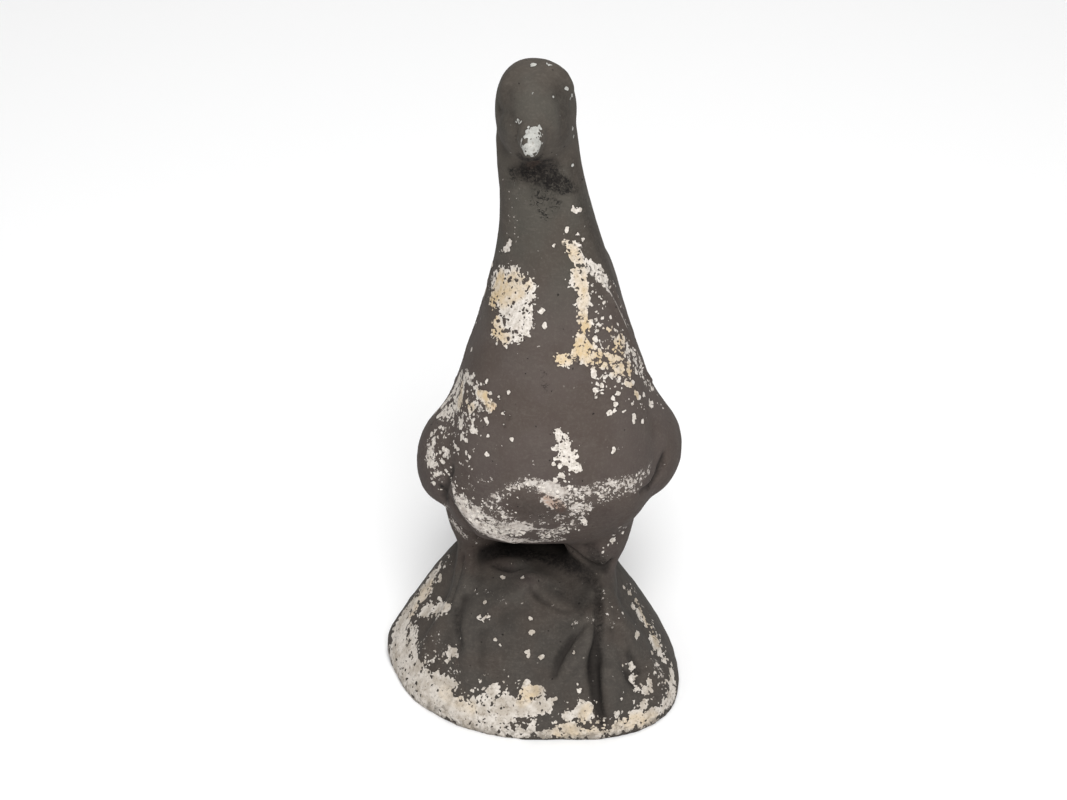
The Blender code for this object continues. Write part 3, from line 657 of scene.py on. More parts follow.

# %% [markdown]
# ## Where the paint has gone
# Wear is not random: paint flakes where the cement was damp, rubs through on proud edges and stays in the
# hollows. So the wear is placed as strokes of (column, row, radius) in the photograph's
# pixels, with a strength where it matters. Each kind becomes one number per vertex, an attribute, and
# the material turns those soft fields into crisp, ragged edges.

# %% Flakes of bare cement
CHIPS = [
    [(535.5, 132.5, 5.5), (532.5, 140, 8.5), (529.5, 148, 8)], [(539.5, 129.5, 2.4)], [(530, 130, 3)],
    [(526, 151, 4)], [(532, 65, 1.9), (534.5, 64.6, 1.6)], [(548, 65.6, 2), (550.5, 66.5, 1.6)],
    [(561, 68, 1.2), (565, 71, 1)], [(566.5, 89, 1.6)], [(554, 96, 1.3)], [(559, 95, 1.1)],
    [(570, 79.5, 1.2)], [(571.5, 96, 1.3)], [(516.5, 121, 1.6), (518, 123.5, 1.4)], [(521.5, 122, 1)],
    [(573, 128, 1.4)], [(574, 137, 1.3)], [(572.5, 165.5, 1.4)], [(510, 240.5, 1.8), (507.5, 246, 2.2),
    (505, 250, 1.8)], [(508, 250, 1.4)], [(501, 251.5, 1.5)], [(574.5, 209.5, 2.4), (576.5, 211, 2)],
    [(580, 209.5, 1.6)], [(567, 229.5, 1.5)], [(577.5, 235.5, 1.6)], [(583.5, 240, 1.6)],
    [(554.5, 246, 1.4)], [(500, 277, 7), (509, 272, 6), (515, 274, 5)], [(497, 286, 9), (511, 284, 12),
    (524, 287, 8)], [(496, 298, 8), (508, 300, 12), (523, 300, 10)], [(506, 313, 9), (517, 313, 11),
    (525, 315, 7)], [(500, 322, 5), (511, 325, 9), (522, 326, 9), (530, 321, 4)], [(497, 333, 5),
    (504, 339, 5), (513, 334, 8), (519, 337, 5)], [(531, 284, 4), (534, 288, 3)], [(532, 296, 4)],
    [(493, 264, 1.8), (490, 274, 3.2), (486, 284, 3.4), (483, 295, 2.6)], [(541.5, 311.5, 2.4)],
    [(544, 325.5, 2.2)], [(507, 347.5, 1.4)], [(476, 314, 1.2)], [(473, 323, 1.2)], [(566, 243, 3),
    (571, 248.5, 6)], [(578, 246, 3)], [(575, 254, 5), (580, 260, 4)], [(586, 262, 3)], [(575, 271, 4.5),
    (580, 274.5, 6.5)], [(587, 270, 3.8)], [(577, 281, 5), (585, 283, 4.5)], [(582.5, 291, 5)],
    [(588, 292, 2.8)], [(585.5, 300, 4), (581.5, 304.5, 4.2)], [(584, 309.5, 3), (585.5, 313, 2.4)],
    [(584, 318.5, 3.6), (585, 326, 3.2)], [(589.5, 324.5, 3.4)], [(581.5, 338.5, 4.6), (579, 346.5, 3.8)],
    [(588, 345, 2.4), (580, 350, 2.4), (573, 355, 3.6), (567, 360, 4.6), (560, 360.5, 4)],
    [(587, 360, 3.6), (582, 362, 3)], [(595, 339, 2.4)], [(600, 350, 1.4)], [(608, 354, 1.8),
    (612, 358, 1.8)], [(611, 375.5, 2.8)], [(617, 371, 1.8), (622, 367, 2.2)], [(628, 370, 2)],
    [(636.5, 372, 2)], [(616, 342.5, 2)], [(624, 337.5, 2)], [(609, 329.5, 2)], [(602.5, 367.5, 1.8)],
    [(593, 371, 2.4), (594, 376, 1.8)], [(604.5, 377, 1.8)], [(598, 330, 1.5)], [(603, 318, 1.4)],
    [(595, 320, 1.3)], [(600, 297, 1.3)], [(592, 305, 1.3)], [(589.5, 261, 2), (593, 266, 3),
    (597.5, 273, 4.4), (604, 279, 4)], [(599.5, 266, 1.4), (602, 270, 1.2)], [(626, 383, 2),
    (629.5, 385.5, 2.2), (633, 382, 2)], [(635, 392, 1.4), (638.5, 397.5, 2.6)], [(650.5, 403.5, 3)],
    [(643.5, 395, 1.8)], [(609, 412.8, 2.8)], [(614, 411, 1.6)], [(634, 416, 2.2), (634.5, 420, 2.2)],
    [(642.5, 421.5, 1.8)], [(616, 403, 1.6)], [(613, 398, 1.7)], [(618, 404.5, 1.7)], [(618, 393, 1.6)],
    [(602, 393, 1.5)], [(602, 386, 2)], [(595, 389.5, 2)], [(596, 396.5, 1.5)], [(624, 411, 1.3)],
    [(632, 403, 1.2)], [(614, 449, 1.5)], [(613, 452, 1.2)], [(466.5, 375, 3)], [(464, 382, 3.4)],
    [(463, 390, 3)], [(461, 397, 3.6)], [(458, 405, 4.4)], [(451, 411, 2.6)], [(444, 416, 2)],
    [(461, 374, 3.4), (459.5, 381, 3.8), (457.5, 389, 4.2), (455, 397, 4.4), (451, 405, 3.8),
    (445, 411, 2.8), (438, 417, 2)], [(459.5, 376, 4.2), (456.5, 384, 4.4), (453.5, 391, 4.6),
    (449.5, 398, 4.6), (444, 404, 4.2)], [(438, 409.5, 3.6)], [(432, 415, 2.6)], [(469.5, 380, 3.4)],
    [(473, 376, 2.4)], [(470.5, 383, 2.2)], [(471, 409, 3.6), (475, 405, 3.4)], [(480, 393, 3),
    (478, 396, 2.4)], [(485, 393, 2.2), (483.5, 399, 3), (488, 403.5, 3.2), (493, 406, 2.8)],
    [(489.5, 410, 2.8)], [(480.5, 408.5, 3)], [(476, 387.5, 2), (477, 391, 1.6)], [(486, 381.5, 1.9)],
    [(490.5, 393.5, 1.6)], [(499, 397, 1.5)], [(508.5, 392.5, 1.6)], [(503, 412, 1.3)],
    [(509.5, 417.5, 1.5)], [(486, 419, 1.6)], [(487, 423.5, 1.7)], [(473.5, 420, 1.5)],
    [(461.5, 420.5, 2.6), (461, 427.5, 1.8)], [(472.5, 428.5, 3), (475.5, 431, 2.4)], [(462, 437, 2.4)],
    [(466.5, 440.5, 2.2)], [(443, 429, 2)], [(454.5, 445, 1.5), (458, 449, 1.4)], [(465.5, 452, 1.2)],
    [(469, 457, 1.2)], [(486, 454, 1.6), (488.5, 454.5, 1.4)], [(488, 436, 1.1)], [(512, 439, 1.4)],
    [(504.5, 425, 1.2)], [(431.5, 434, 1.8)], [(434, 442, 2.8)], [(431, 448, 2.4), (431.5, 454, 2.6)],
    [(431, 463, 4.6), (434, 465, 3.6)], [(442, 461.5, 2.4)], [(445, 449.5, 2.6), (447, 455, 3.2)],
    [(440, 452, 1.6)], [(445.5, 471.5, 1.9)], [(427.5, 456, 1.6)], [(437, 474, 2)], [(558.5, 434, 4.2),
    (562, 442, 5.6), (566, 451, 7), (570, 460, 7.2), (576, 468, 4.2)], [(555, 449, 2.5)],
    [(556, 459, 1.8)], [(560, 467, 1.8)], [(561.5, 475.5, 2.4)], [(555, 480, 2)], [(554, 464, 1.4)],
    [(584, 521, 2.2), (586, 524, 1.8)], [(613, 540, 2)], [(623, 532, 1.3)], [(620, 528, 1.2)],
    [(424, 612, 5), (431, 609, 5), (438, 608, 4.4), (445, 608, 4)], [(437, 614.5, 3.6)],
    [(439, 599, 1.8)], [(451, 649.5, 4), (455, 652, 3.4)], [(449, 655, 3)], [(457, 655, 1.6)],
    [(431.5, 661.5, 2.6)], [(447, 661, 1.8)], [(479, 617, 2.2), (484, 619, 2.4), (489, 615, 2.6)],
    [(485, 602.5, 1.6)], [(502.5, 577.5, 2.1)], [(511.5, 563, 1.5)], [(522.5, 578, 1.8)],
    [(532, 632.5, 2.1)], [(530, 619, 1.4)], [(526.5, 651.5, 2.3)], [(528, 656, 1.6)],
    [(541.5, 656.5, 2.1)], [(573.5, 652, 1.5)], [(495, 640, 1.4)], [(500.5, 644.5, 1.2)],
    [(439, 569, 3.2)], [(433, 574, 4.4), (430, 582, 6), (424, 591, 7)], [(440, 577, 2)],
    [(441, 562, 1.4)], [(430, 584, 4), (425, 590, 5), (418, 599, 6), (410, 609, 7), (403, 620, 9)],
    [(440, 580, 1.6)], [(400, 630, 11), (399, 644, 13), (402, 658, 13)], [(410, 670, 11), (419, 682, 11),
    (430, 692, 12)], [(412, 630, 6), (411, 642, 7), (414, 652, 4)], [(424, 676, 7), (437, 684, 9),
    (447, 691, 8)], [(444, 703, 12), (460, 711, 12), (478, 713, 12), (494, 714, 10), (508, 713, 8)],
    [(414, 660, 5), (420, 666, 3.4)], [(431, 676, 4), (445, 679, 4.5), (452, 686, 5)], [(488, 699, 7),
    (494, 692, 6)], [(503, 700, 9), (515, 707, 10), (528, 709, 9), (541, 705, 8), (549, 702, 4.5)],
    [(524, 694, 5), (528, 690, 5.5), (537, 694, 5.5)], [(527, 683, 2.6)], [(458, 722, 7), (476, 727, 8),
    (500, 731, 7), (524, 734, 5)], [(392, 652, 7), (397, 672, 8), (406, 686, 8), (420, 700, 8),
    (438, 712, 8)], [(583, 708, 6), (584, 714, 7.5), (588, 706, 4.5)], [(566, 715, 4), (569, 717, 3)],
    [(577, 714, 4)], [(580, 690, 1.8)], [(578.5, 684.5, 1.3)], [(555, 700, 2.4)], [(532, 729, 3.6)],
    [(593, 716, 2)], [(634, 606, 3)], [(639, 612, 4.4), (642, 618, 3.6)], [(646, 626, 2)],
    [(625, 587, 2)], [(630, 593, 2.4)], [(636, 600, 2)], [(637, 633, 2.6), (636, 637, 1.8)],
    [(652, 639, 4), (656, 645, 4.4)], [(660, 653, 3.8)], [(664, 660, 2.6)], [(652, 653, 1.6)],
    [(657, 664, 1.5)], [(632, 665.5, 3)], [(632, 677, 3.2), (633, 682, 2.4)], [(645, 690.5, 4)],
    [(649, 682, 3)], [(650, 690, 2.4)], [(637, 689, 2.4)], [(644, 703, 3.8), (643, 707, 3)],
    [(617, 714, 2.6)], [(621, 699, 1.7)], [(671, 672, 3), (673, 686, 4.5), (671, 698, 5), (664, 708, 5.5),
    (652, 716, 6), (638, 721, 5.5), (624, 727, 5), (606, 732, 4), (588, 734, 5), (572, 733, 5.5),
    (556, 731, 5), (540, 735, 3.5)], [(633, 713, 3), (641, 711, 2.4)], [(563, 727, 4.5), (572, 728, 4.5)],
    [(671, 664, 2)], [(664, 660, 2)],
]
print(len(CHIPS), "flakes")

# %% Speckle, scuffs, tints and painted shade
SPECKLE = [
    [(590, 266, 7, 0.6), (600, 276, 9, 0.75), (608, 284, 7, 0.65)], [(580, 262, 8, 0.6),
    (581, 280, 10, 0.7), (583, 296, 9, 0.65), (583, 312, 7, 0.7), (585, 328, 8, 0.75)],
    [(592, 286, 7, 0.5)], [(598, 298, 9, 0.3), (608, 300, 9, 0.3)], [(600, 316, 8, 0.22),
    (612, 316, 8, 0.25)], [(598, 326, 9, 0.42), (610, 328, 10, 0.45), (620, 334, 9, 0.55)],
    [(586, 342, 9, 0.95), (598, 346, 9, 0.8), (612, 344, 10, 0.8), (624, 346, 10, 0.9),
    (632, 356, 11, 0.95), (640, 368, 9, 0.95)], [(578, 356, 8, 0.8), (592, 358, 10, 0.95),
    (606, 360, 11, 1), (618, 366, 11, 1), (630, 370, 10, 0.95)], [(596, 372, 9, 0.6), (610, 376, 9, 0.55),
    (622, 378, 8, 0.4)], [(644, 378, 8, 0.7), (652, 390, 7, 0.5), (660, 404, 6, 0.3)],
    [(598, 386, 7, 0.35), (612, 390, 8, 0.25), (628, 396, 9, 0.25), (640, 410, 10, 0.18)],
    [(466, 376, 7, 1), (462, 388, 7, 1), (459, 400, 8, 1.05), (452, 410, 7, 1), (443, 418, 6, 0.8)],
    [(474, 384, 9, 0.5), (480, 392, 9, 0.45), (486, 402, 9, 0.5)], [(468, 396, 8, 0.6),
    (470, 410, 9, 0.7), (462, 416, 10, 0.65), (452, 420, 9, 0.6)], [(476, 420, 9, 0.45),
    (464, 428, 9, 0.5), (450, 430, 9, 0.55), (438, 432, 8, 0.5)], [(452, 440, 9, 0.32),
    (438, 446, 9, 0.45)], [(431, 446, 8, 0.8), (431, 460, 9, 0.85), (433, 470, 9, 0.8),
    (437, 480, 9, 0.6), (436, 490, 7, 0.45)], [(444, 462, 9, 0.4), (446, 476, 8, 0.45)],
    [(458, 456, 9, 0.28), (466, 468, 9, 0.25), (480, 440, 12, 0.12), (492, 452, 12, 0.1)],
    [(454, 480, 8, 0.35), (462, 492, 7, 0.35), (470, 500, 8, 0.3)], [(510, 300, 20, 0.4)],
    [(456, 488, 6, 0.7), (462, 502, 9, 0.75), (473, 514, 10, 0.85), (487, 523, 10, 0.85),
    (504, 530, 10, 0.85), (520, 532, 9, 0.7)], [(545, 535, 8, 0.6), (558, 533, 7, 0.55),
    (572, 527, 7, 0.5)], [(480, 508, 9, 0.45), (494, 500, 8, 0.35), (508, 492, 8, 0.35),
    (524, 488, 8, 0.45)], [(500, 512, 9, 0.4), (516, 514, 8, 0.3)], [(530, 482, 7, 0.4),
    (552, 490, 9, 0.6), (574, 496, 10, 0.6), (586, 510, 9, 0.5)], [(600, 492, 9, 0.4),
    (620, 488, 9, 0.45), (638, 480, 8, 0.4)], [(433, 575, 9, 0.7), (424, 592, 8, 0.7)],
    [(440, 570, 8, 0.4), (448, 560, 7, 0.35)], [(450, 688, 14, 0.35), (470, 698, 12, 0.4),
    (500, 690, 10, 0.3), (520, 688, 9, 0.35), (548, 700, 8, 0.4)], [(452, 672, 10, 0.3),
    (466, 688, 9, 0.3)], [(424, 640, 7, 0.4), (424, 662, 8, 0.4), (450, 655, 8, 0.35)],
    [(630, 588, 8, 0.35), (640, 604, 9, 0.4), (648, 620, 9, 0.4), (656, 640, 10, 0.6),
    (662, 655, 9, 0.5)], [(650, 668, 9, 0.35), (660, 676, 9, 0.45), (670, 688, 8, 0.6)],
    [(638, 676, 8, 0.35), (640, 700, 8, 0.4), (640, 714, 9, 0.6), (612, 722, 8, 0.5), (580, 726, 9, 0.6),
    (552, 726, 8, 0.5), (524, 728, 9, 0.6), (490, 722, 10, 0.6)], [(620, 700, 7, 0.2),
    (628, 668, 7, 0.22)], [(508, 680, 8, 0.3), (480, 680, 7, 0.15)], [(560, 708, 8, 0.3),
    (600, 712, 7, 0.3)], [(452, 518, 7, 0.4), (460, 530, 7, 0.4)], [(614, 538, 6, 0.35),
    (606, 552, 7, 0.25), (622, 530, 6, 0.3)], [(605, 602, 8, 0.2), (618, 612, 8, 0.2)],
    [(560, 480, 8, 0.35), (576, 474, 7, 0.3)], [(615, 448, 8, 0.15)], [(571, 85, 8, 0.28),
    (572, 105, 6, 0.22)], [(604, 262, 5, 0.25), (616, 292, 5, 0.3), (628, 322, 5, 0.35),
    (640, 350, 5, 0.45), (652, 378, 5, 0.45)],
]
SCUFFS = [
    [(507, 486, 5, 0.4), (520, 483, 6, 0.55), (534, 485, 7, 0.7), (548, 488, 8, 1), (558, 491, 8, 1),
    (570, 494, 9, 0.85), (584, 493, 8, 0.6), (600, 488, 8, 0.65), (614, 486, 8, 0.8), (628, 483, 8, 0.8),
    (640, 477, 7, 0.65), (649, 469, 5, 0.6), (652, 461, 3, 0.45)], [(566, 502, 8, 0.8),
    (576, 510, 8, 0.75), (586, 506, 8, 0.6)], [(546, 500, 6, 0.6), (555, 506, 6, 0.7)],
    [(596, 499, 7, 0.5), (612, 495, 8, 0.55), (626, 491, 7, 0.5), (636, 486, 7, 0.5)],
    [(453, 485, 4, 0.7), (456, 498, 4, 0.9), (462, 509, 5, 1), (470, 519, 6, 1), (482, 529, 7, 0.95),
    (496, 536, 7, 0.95), (514, 540, 6, 0.85), (532, 541, 5, 0.75), (548, 541, 4.5, 0.6),
    (562, 539, 4, 0.5)], [(461, 498, 6, 0.7), (471, 509, 8, 0.75), (484, 519, 9, 0.8), (499, 526, 10, 1),
    (514, 528, 10, 1), (527, 527, 8, 0.8)], [(484, 512, 8, 0.55), (492, 502, 7, 0.5), (501, 494, 6, 0.45),
    (512, 489, 5, 0.4)], [(498, 514, 8, 0.55), (512, 519, 8, 0.5)], [(544, 533, 8, 0.75),
    (556, 532, 7, 0.6), (570, 526, 7, 0.6), (582, 516, 7, 0.55)], [(535, 520, 7, 0.35),
    (550, 518, 7, 0.3), (566, 516, 7, 0.3)], [(443, 480, 4, 0.35), (436, 466, 5, 0.35),
    (430, 440, 5, 0.3)], [(470, 485, 8, 0.14), (486, 476, 8, 0.12)], [(604, 285, 2.4, 1),
    (609, 292, 2, 1.1), (614, 301, 1.6, 1.2), (620, 312, 1.6, 1.2), (626, 325, 1.8, 1.1),
    (632, 341, 2, 0.9), (640, 361, 2.4, 0.7)], [(640, 346, 4, 0.45), (648, 366, 4.5, 0.6),
    (657, 386, 4, 0.5), (666, 404, 3, 0.35)], [(512, 182, 4, 0.14), (513, 198, 5, 0.18)],
    [(512, 212, 5, 0.22), (513, 228, 5, 0.26), (515, 240, 4, 0.2)], [(505, 190, 2, 0.16),
    (520, 188, 2, 0.14)], [(528, 76, 2.4, 0.25), (524, 82, 2, 0.2)], [(446, 505, 4, 0.4),
    (452, 520, 4, 0.4), (466, 537, 4, 0.55), (478, 542, 3, 0.5)], [(572, 165, 2, 0.25)],
    [(478, 285, 3, 0.3)], [(602, 590, 4, 0.3), (606, 606, 4, 0.25), (612, 622, 5, 0.28)],
    [(655, 664, 6, 0.4), (660, 672, 5, 0.35)], [(575, 622, 4, 0.28), (590, 620, 4, 0.2)],
    [(440, 640, 10, 0.2), (452, 668, 9, 0.2)], [(470, 590, 6, 0.14), (500, 600, 8, 0.12)],
]
OCHRE = [
    [(511, 283, 10, 0.65), (503, 300, 9, 0.75), (519, 291, 8, 0.5)], [(500, 277, 8, 0.8),
    (497, 290, 10, 0.9), (492, 300, 7, 1), (494, 314, 6, 0.8), (496, 330, 8, 0.9), (504, 339, 7, 0.8)],
    [(526, 284, 8, 0.55), (514, 276, 7, 0.4)], [(567, 245, 8, 0.55), (572, 252, 8, 0.5),
    (580, 272, 9, 0.6), (583, 290, 8, 0.5), (583, 310, 7, 0.55), (584, 328, 9, 0.85), (584, 346, 11, 1),
    (570, 356, 10, 0.95), (558, 360, 7, 0.9)], [(592, 358, 10, 0.95), (606, 360, 9, 0.85),
    (616, 350, 10, 0.75), (622, 340, 8, 0.75), (616, 368, 8, 0.75), (630, 370, 9, 0.75)],
    [(609, 329, 8, 0.75)], [(628, 384, 6, 0.75), (637, 396, 5, 0.6)], [(480, 393, 5, 0.8),
    (485, 396, 5, 1.1), (488, 404, 5, 1.2), (493, 407, 5, 1.3)], [(461, 388, 8, 0.6), (459, 402, 8, 0.6),
    (472, 407, 5, 0.5)], [(526, 694, 8, 0.8), (534, 690, 7, 0.6), (522, 702, 6, 0.5)],
    [(587, 708, 6, 0.7), (583, 716, 5, 0.4)], [(422, 594, 9, 0.5), (430, 586, 8, 0.4),
    (412, 612, 8, 0.4)], [(656, 642, 7, 0.55), (634, 596, 5, 0.4)], [(560, 731, 9, 0.6),
    (640, 720, 8, 0.5), (654, 716, 6, 0.5)], [(470, 708, 8, 0.35), (444, 692, 8, 0.3)],
]
RUST = [
    [(547, 499, 5, 0.8), (554, 503, 6.5, 1), (561, 508, 5.5, 0.8)], [(541, 494, 4, 0.3)],
    [(536, 163, 5, 0.7), (530, 166, 5, 0.5)], [(494, 407, 4, 0.4)], [(466, 392, 5, 0.2)],
    [(456, 662, 4, 0.3)], [(516, 330, 5, 0.12)],
]
# Painted shade and shadow: the cast shadow under the beak and the belly, the dark of the crevices, the toe
# groove and the rock's hollows, and darker temples, neck edges and lower breast.
PAINTED_SHADE = [
    [(522, 158, 8, 0.5), (532, 161, 11, 0.9), (546, 165, 13, 0.8), (556, 168, 10, 0.4)],
    [(513, 172, 9, 0.35), (526, 171, 12, 0.85), (541, 176, 14, 1.15), (554, 181, 13, 1.05),
    (567, 186, 10, 0.8), (576, 189, 7, 0.4)], [(536, 189, 10, 0.35), (552, 195, 12, 0.3),
    (556, 206, 10, 0.15)], [(510, 184, 8, 0.25)], [(563, 96, 18, 0.35), (567, 116, 17, 0.4),
    (566, 136, 16, 0.35)], [(574, 168, 13, 0.3), (582, 200, 13, 0.35), (593, 232, 13, 0.38),
    (605, 262, 11, 0.38), (618, 292, 9, 0.35)], [(506, 96, 12, 0.22), (506, 116, 12, 0.25),
    (505, 150, 10, 0.2)], [(497, 205, 9, 0.3), (493, 235, 9, 0.32), (484, 262, 8, 0.3)],
    [(478, 300, 9, 0.25), (472, 335, 9, 0.25)], [(490, 552, 12, 0.75), (520, 553, 13, 0.9),
    (550, 557, 13, 0.95), (575, 566, 12, 0.9), (592, 580, 10, 0.6)], [(458, 610, 7, 0.6),
    (456, 626, 8, 0.7), (458, 642, 7, 0.6)], [(598, 590, 6, 0.6), (599, 620, 6, 0.9), (597, 643, 7, 1.1),
    (594, 668, 8, 1.1), (596, 690, 7, 1.1), (600, 712, 6, 1), (603, 724, 5, 0.8)], [(556, 665, 5, 0.6),
    (561, 652, 5, 0.7), (571, 638, 5, 0.6)], [(628, 654, 6, 0.6), (638, 672, 6, 0.4)],
    [(664, 458, 6, 0.6), (657, 475, 6, 0.9), (650, 488, 5, 1)], [(442, 488, 6, 0.9), (446, 498, 6, 1)],
    [(495, 566, 5, 0.5), (510, 570, 5, 0.5)], [(590, 546, 8, 0.5), (599, 562, 8, 0.8),
    (606, 568, 6, 0.7)], [(566, 590, 16, 0.4), (590, 602, 9, 0.35)], [(520, 508, 16, 0.25),
    (548, 512, 14, 0.3), (600, 515, 16, 0.12), (612, 530, 12, 0.12)],
]
CRACKLE = [
    [(513, 176, 10, 0.45), (530, 172, 12, 0.9), (545, 167, 11, 0.9), (554, 182, 13, 1),
    (568, 188, 9, 0.9)], [(540, 196, 10, 0.85), (552, 204, 10, 0.8), (546, 214, 8, 0.6)],
    [(524, 160, 6, 0.7), (540, 158, 8, 0.7)], [(513, 131, 4, 0.6), (545, 392, 6, 0.35),
    (547, 376, 5, 0.35)], [(548, 204, 14, 0.9), (538, 200, 10, 0.8)],
]
print(len(SPECKLE), "speckled areas,", len(SCUFFS), "scuffs,", len(OCHRE), "ochre tints")

# %% Wear on the sides and the back
# The photograph doesn't show these sides, so the wear there is made up, and plainer. Each row says how
# many degrees the viewer has walked round, then gives flakes as (right, up, radius) in mm.
FLAKES_ROUND = {
    90.0: [
        [(13, 170, 2), (17, 165, 3.4)], [(21, 161, 2.4), (24, 157, 1.6)], [(16, 158, 1.4)], [(12, 131, 2),
        (17, 127, 3.4)], [(22, 123, 2.4), (21, 119, 3)], [(29, 117, 1.8)], [(73, 101, 1.6)], [(79, 98, 3),
        (82, 94, 2)], [(88, 90, 2.4)], [(95, 86, 1.8), (99, 84, 2.6)], [(113, 74, 2)], [(119, 72, 2.6)],
        [(12, 245, 1.4)], [(40, 84, 1.6)], [(46, 81, 1.2)], [(48, 112, 1.4)], [(26, 30, 2.4),
        (31, 27, 3)], [(36, 31, 1.6)], [(12, 36, 1.6)], [(62, 122, 1.4)],
    ],
    180.0: [
        [(-6, 222, 2), (-8, 216, 3.4)], [(-4, 211, 2)], [(13, 190, 2.4), (16, 184, 4)], [(19, 178, 2.4),
        (15, 174, 2)], [(-4, 168, 1.8), (-1, 163, 2.8)], [(-3, 157, 1.8)], [(-14, 128, 1.8)],
        [(-8, 126, 2.6), (-3, 124, 1.8)], [(6, 126, 2.4), (11, 127, 1.8)], [(17, 129, 1.6)],
        [(-20, 34, 3), (-15, 28, 4.4)], [(8, 30, 4), (16, 34, 2.6)], [(29, 160, 1.4)], [(-27, 150, 1.6)],
        [(-24, 184, 1.4)], [(24, 148, 1.2)],
    ],
    270.0: [
        [(-14, 172, 2), (-19, 168, 3)], [(-24, 163, 3.4), (-26, 157, 2)], [(-18, 158, 1.4)],
        [(-21, 122, 2.4), (-27, 117, 3.6)], [(-35, 113, 2)], [(-31, 121, 1.4)], [(-72, 99, 1.8),
        (-78, 96, 2.8)], [(-88, 92, 2.6)], [(-96, 86, 2)], [(-10, 248, 1.4)], [(-36, 86, 1.6)],
        [(-26, 31, 2.4), (-30, 27, 3)], [(-60, 126, 1.4)], [(-110, 78, 1.8)],
    ],
}
SPECKLE_ROUND = {
    90.0: [
        [(18, 163, 11, 0.45)], [(20, 124, 11, 0.5)], [(86, 93, 14, 0.5)], [(116, 73, 10, 0.4)],
        [(30, 29, 12, 0.35)],
    ],
    180.0: [
        [(-6, 216, 9, 0.45)], [(15, 183, 12, 0.5)], [(-2, 163, 8, 0.35)], [(0, 126, 18, 0.5)],
        [(-17, 31, 13, 0.4)], [(12, 32, 13, 0.4)], [(-26, 166, 12, 0.25)],
    ],
    270.0: [
        [(-20, 165, 12, 0.45)], [(-27, 117, 12, 0.5)], [(-84, 94, 14, 0.5)], [(-28, 29, 11, 0.35)],
    ],
}
print("views round the back:", sorted(FLAKES_ROUND))


# %% Fields on the vertices
NO_FLAKE = -6.0
FLAKE_REACH = 4.0
SMALL_FLAKE, LARGE_FLAKE = 1.2, 3.8
BLOB_EDGE, BLOB_REACH = 1.3, 1.35


def spines(front, around, swell=0.0):
    """Every stroke as a list of (place, radius in mm, strength)."""
    found = []
    for line in front:
        spine = []
        for column, row, radius, *strength in line:
            place, pixel = in_photo(column, row)
            spine.append((place, radius * pixel + swell, *(strength or [1.0])))
        found.append(spine)
    for turn, table in around.items():
        for line in table:
            spine = []
            for u, v, radius, *strength in line:
                spine.append((from_round(turn, u, v), radius + swell, *(strength or [1.0])))
            found.append(spine)
    return found


def flake_field(strokes, squash=1.0):
    """How far inside a flake each vertex is, in mm, and how large that flake is, from 0 to 1."""
    inside = np.full(count, NO_FLAKE)
    large = np.zeros(count)
    for spine in strokes:
        for index, distance, radius in near_line([point[:2] for point in spine], FLAKE_REACH, squash):
            depth = radius - distance
            index, depth, radius = (values[depth > NO_FLAKE] for values in (index, depth, radius))
            size = ramp(radius, SMALL_FLAKE, LARGE_FLAKE)
            large[index] = np.where(depth > inside[index], size, large[index])
            inside[index] = np.maximum(inside[index], depth)
    return inside, large


def soft_field(strokes, core=0.6, squash=1.0):
    """Soft blobs: full strength within core of each radius, fading to nothing at their edge."""
    field = np.zeros(count)
    for spine in strokes:
        strengths = [point[2] for point in spine]
        pairs = list(zip(strengths, strengths[1:])) or [(strengths[0], strengths[0])]
        pieces = near_line([point[:2] for point in spine], BLOB_REACH, squash)
        for (index, distance, radius), (s, e) in zip(pieces, pairs):
            t = ramp(distance / radius, BLOB_EDGE, core)
            field[index] = np.maximum(field[index], 0.5 * (s + e) * t * t * (3 - 2 * t))
    return field


def neighbour_mean(values, rounds):
    """Averages values over each vertex's neighbours a few times."""
    ends = np.empty(len(mesh.edges) * 2, np.int64)
    mesh.edges.foreach_get("vertices", ends)
    a, b = ends.reshape(-1, 2).T
    degree = np.bincount(a, minlength=count) + np.bincount(b, minlength=count)
    for _ in range(rounds):
        if values.ndim == 1:
            total = np.bincount(a, values[b], count) + np.bincount(b, values[a], count)
            values = total / degree
        else:
            columns = [np.bincount(a, c[b], count) + np.bincount(b, c[a], count) for c in values.T]
            values = np.stack(columns, 1) / degree[:, None]
    return values


def hollowness(rounds):
    """How far each vertex lies below the mean of its surroundings, in mm. Proud places are minus."""
    return np.einsum("ij,ij->i", neighbour_mean(places, rounds) - places, normals)


WIDE_ROUNDS, LINE_ROUNDS = 14, 4
hollow = neighbour_mean(hollowness(WIDE_ROUNDS), 2)
line_depth = hollowness(LINE_ROUNDS)
print("hollow from", round(float(hollow.min()), 2), "to", round(float(hollow.max()), 2), "mm")
print("feather lines: 5% and 95% at", np.percentile(line_depth[places[:, 1] > 20.0], (5, 95)).round(3))

# %% Write the attributes
FLATTER = 0.55
FLAKE_SWELL = 0.35
LAST_FRONT_FLAKE = 24.0
back = places[:, 1]
front_only = ramp(back, 18.0, 8.0)
behind = ramp(back, 4.0, 30.0)
chip, lace = flake_field(spines(CHIPS, {}, swell=FLAKE_SWELL), FLATTER)
chip = np.where(back > LAST_FRONT_FLAKE, np.minimum(chip, LAST_FRONT_FLAKE - back), chip)
chip_round, lace_round = flake_field(spines([], FLAKES_ROUND))
lace = np.where(chip_round > chip, lace_round, lace)
chip = np.maximum(chip, chip_round)
speckle = soft_field(spines(SPECKLE, {}), squash=FLATTER) * front_only
speckle = np.maximum(speckle, soft_field(spines([], SPECKLE_ROUND)))
scuff = soft_field(spines(SCUFFS, {}), squash=FLATTER) * front_only
# Proud feather edges behind are rubbed through, in patches.
RUBBED = 0.75
proud = ramp(-line_depth, 0.05, 0.20) * ramp(noise_at(places, 30.0, 6), -0.5, 0.5)
scuff = np.maximum(scuff, RUBBED * proud * behind)

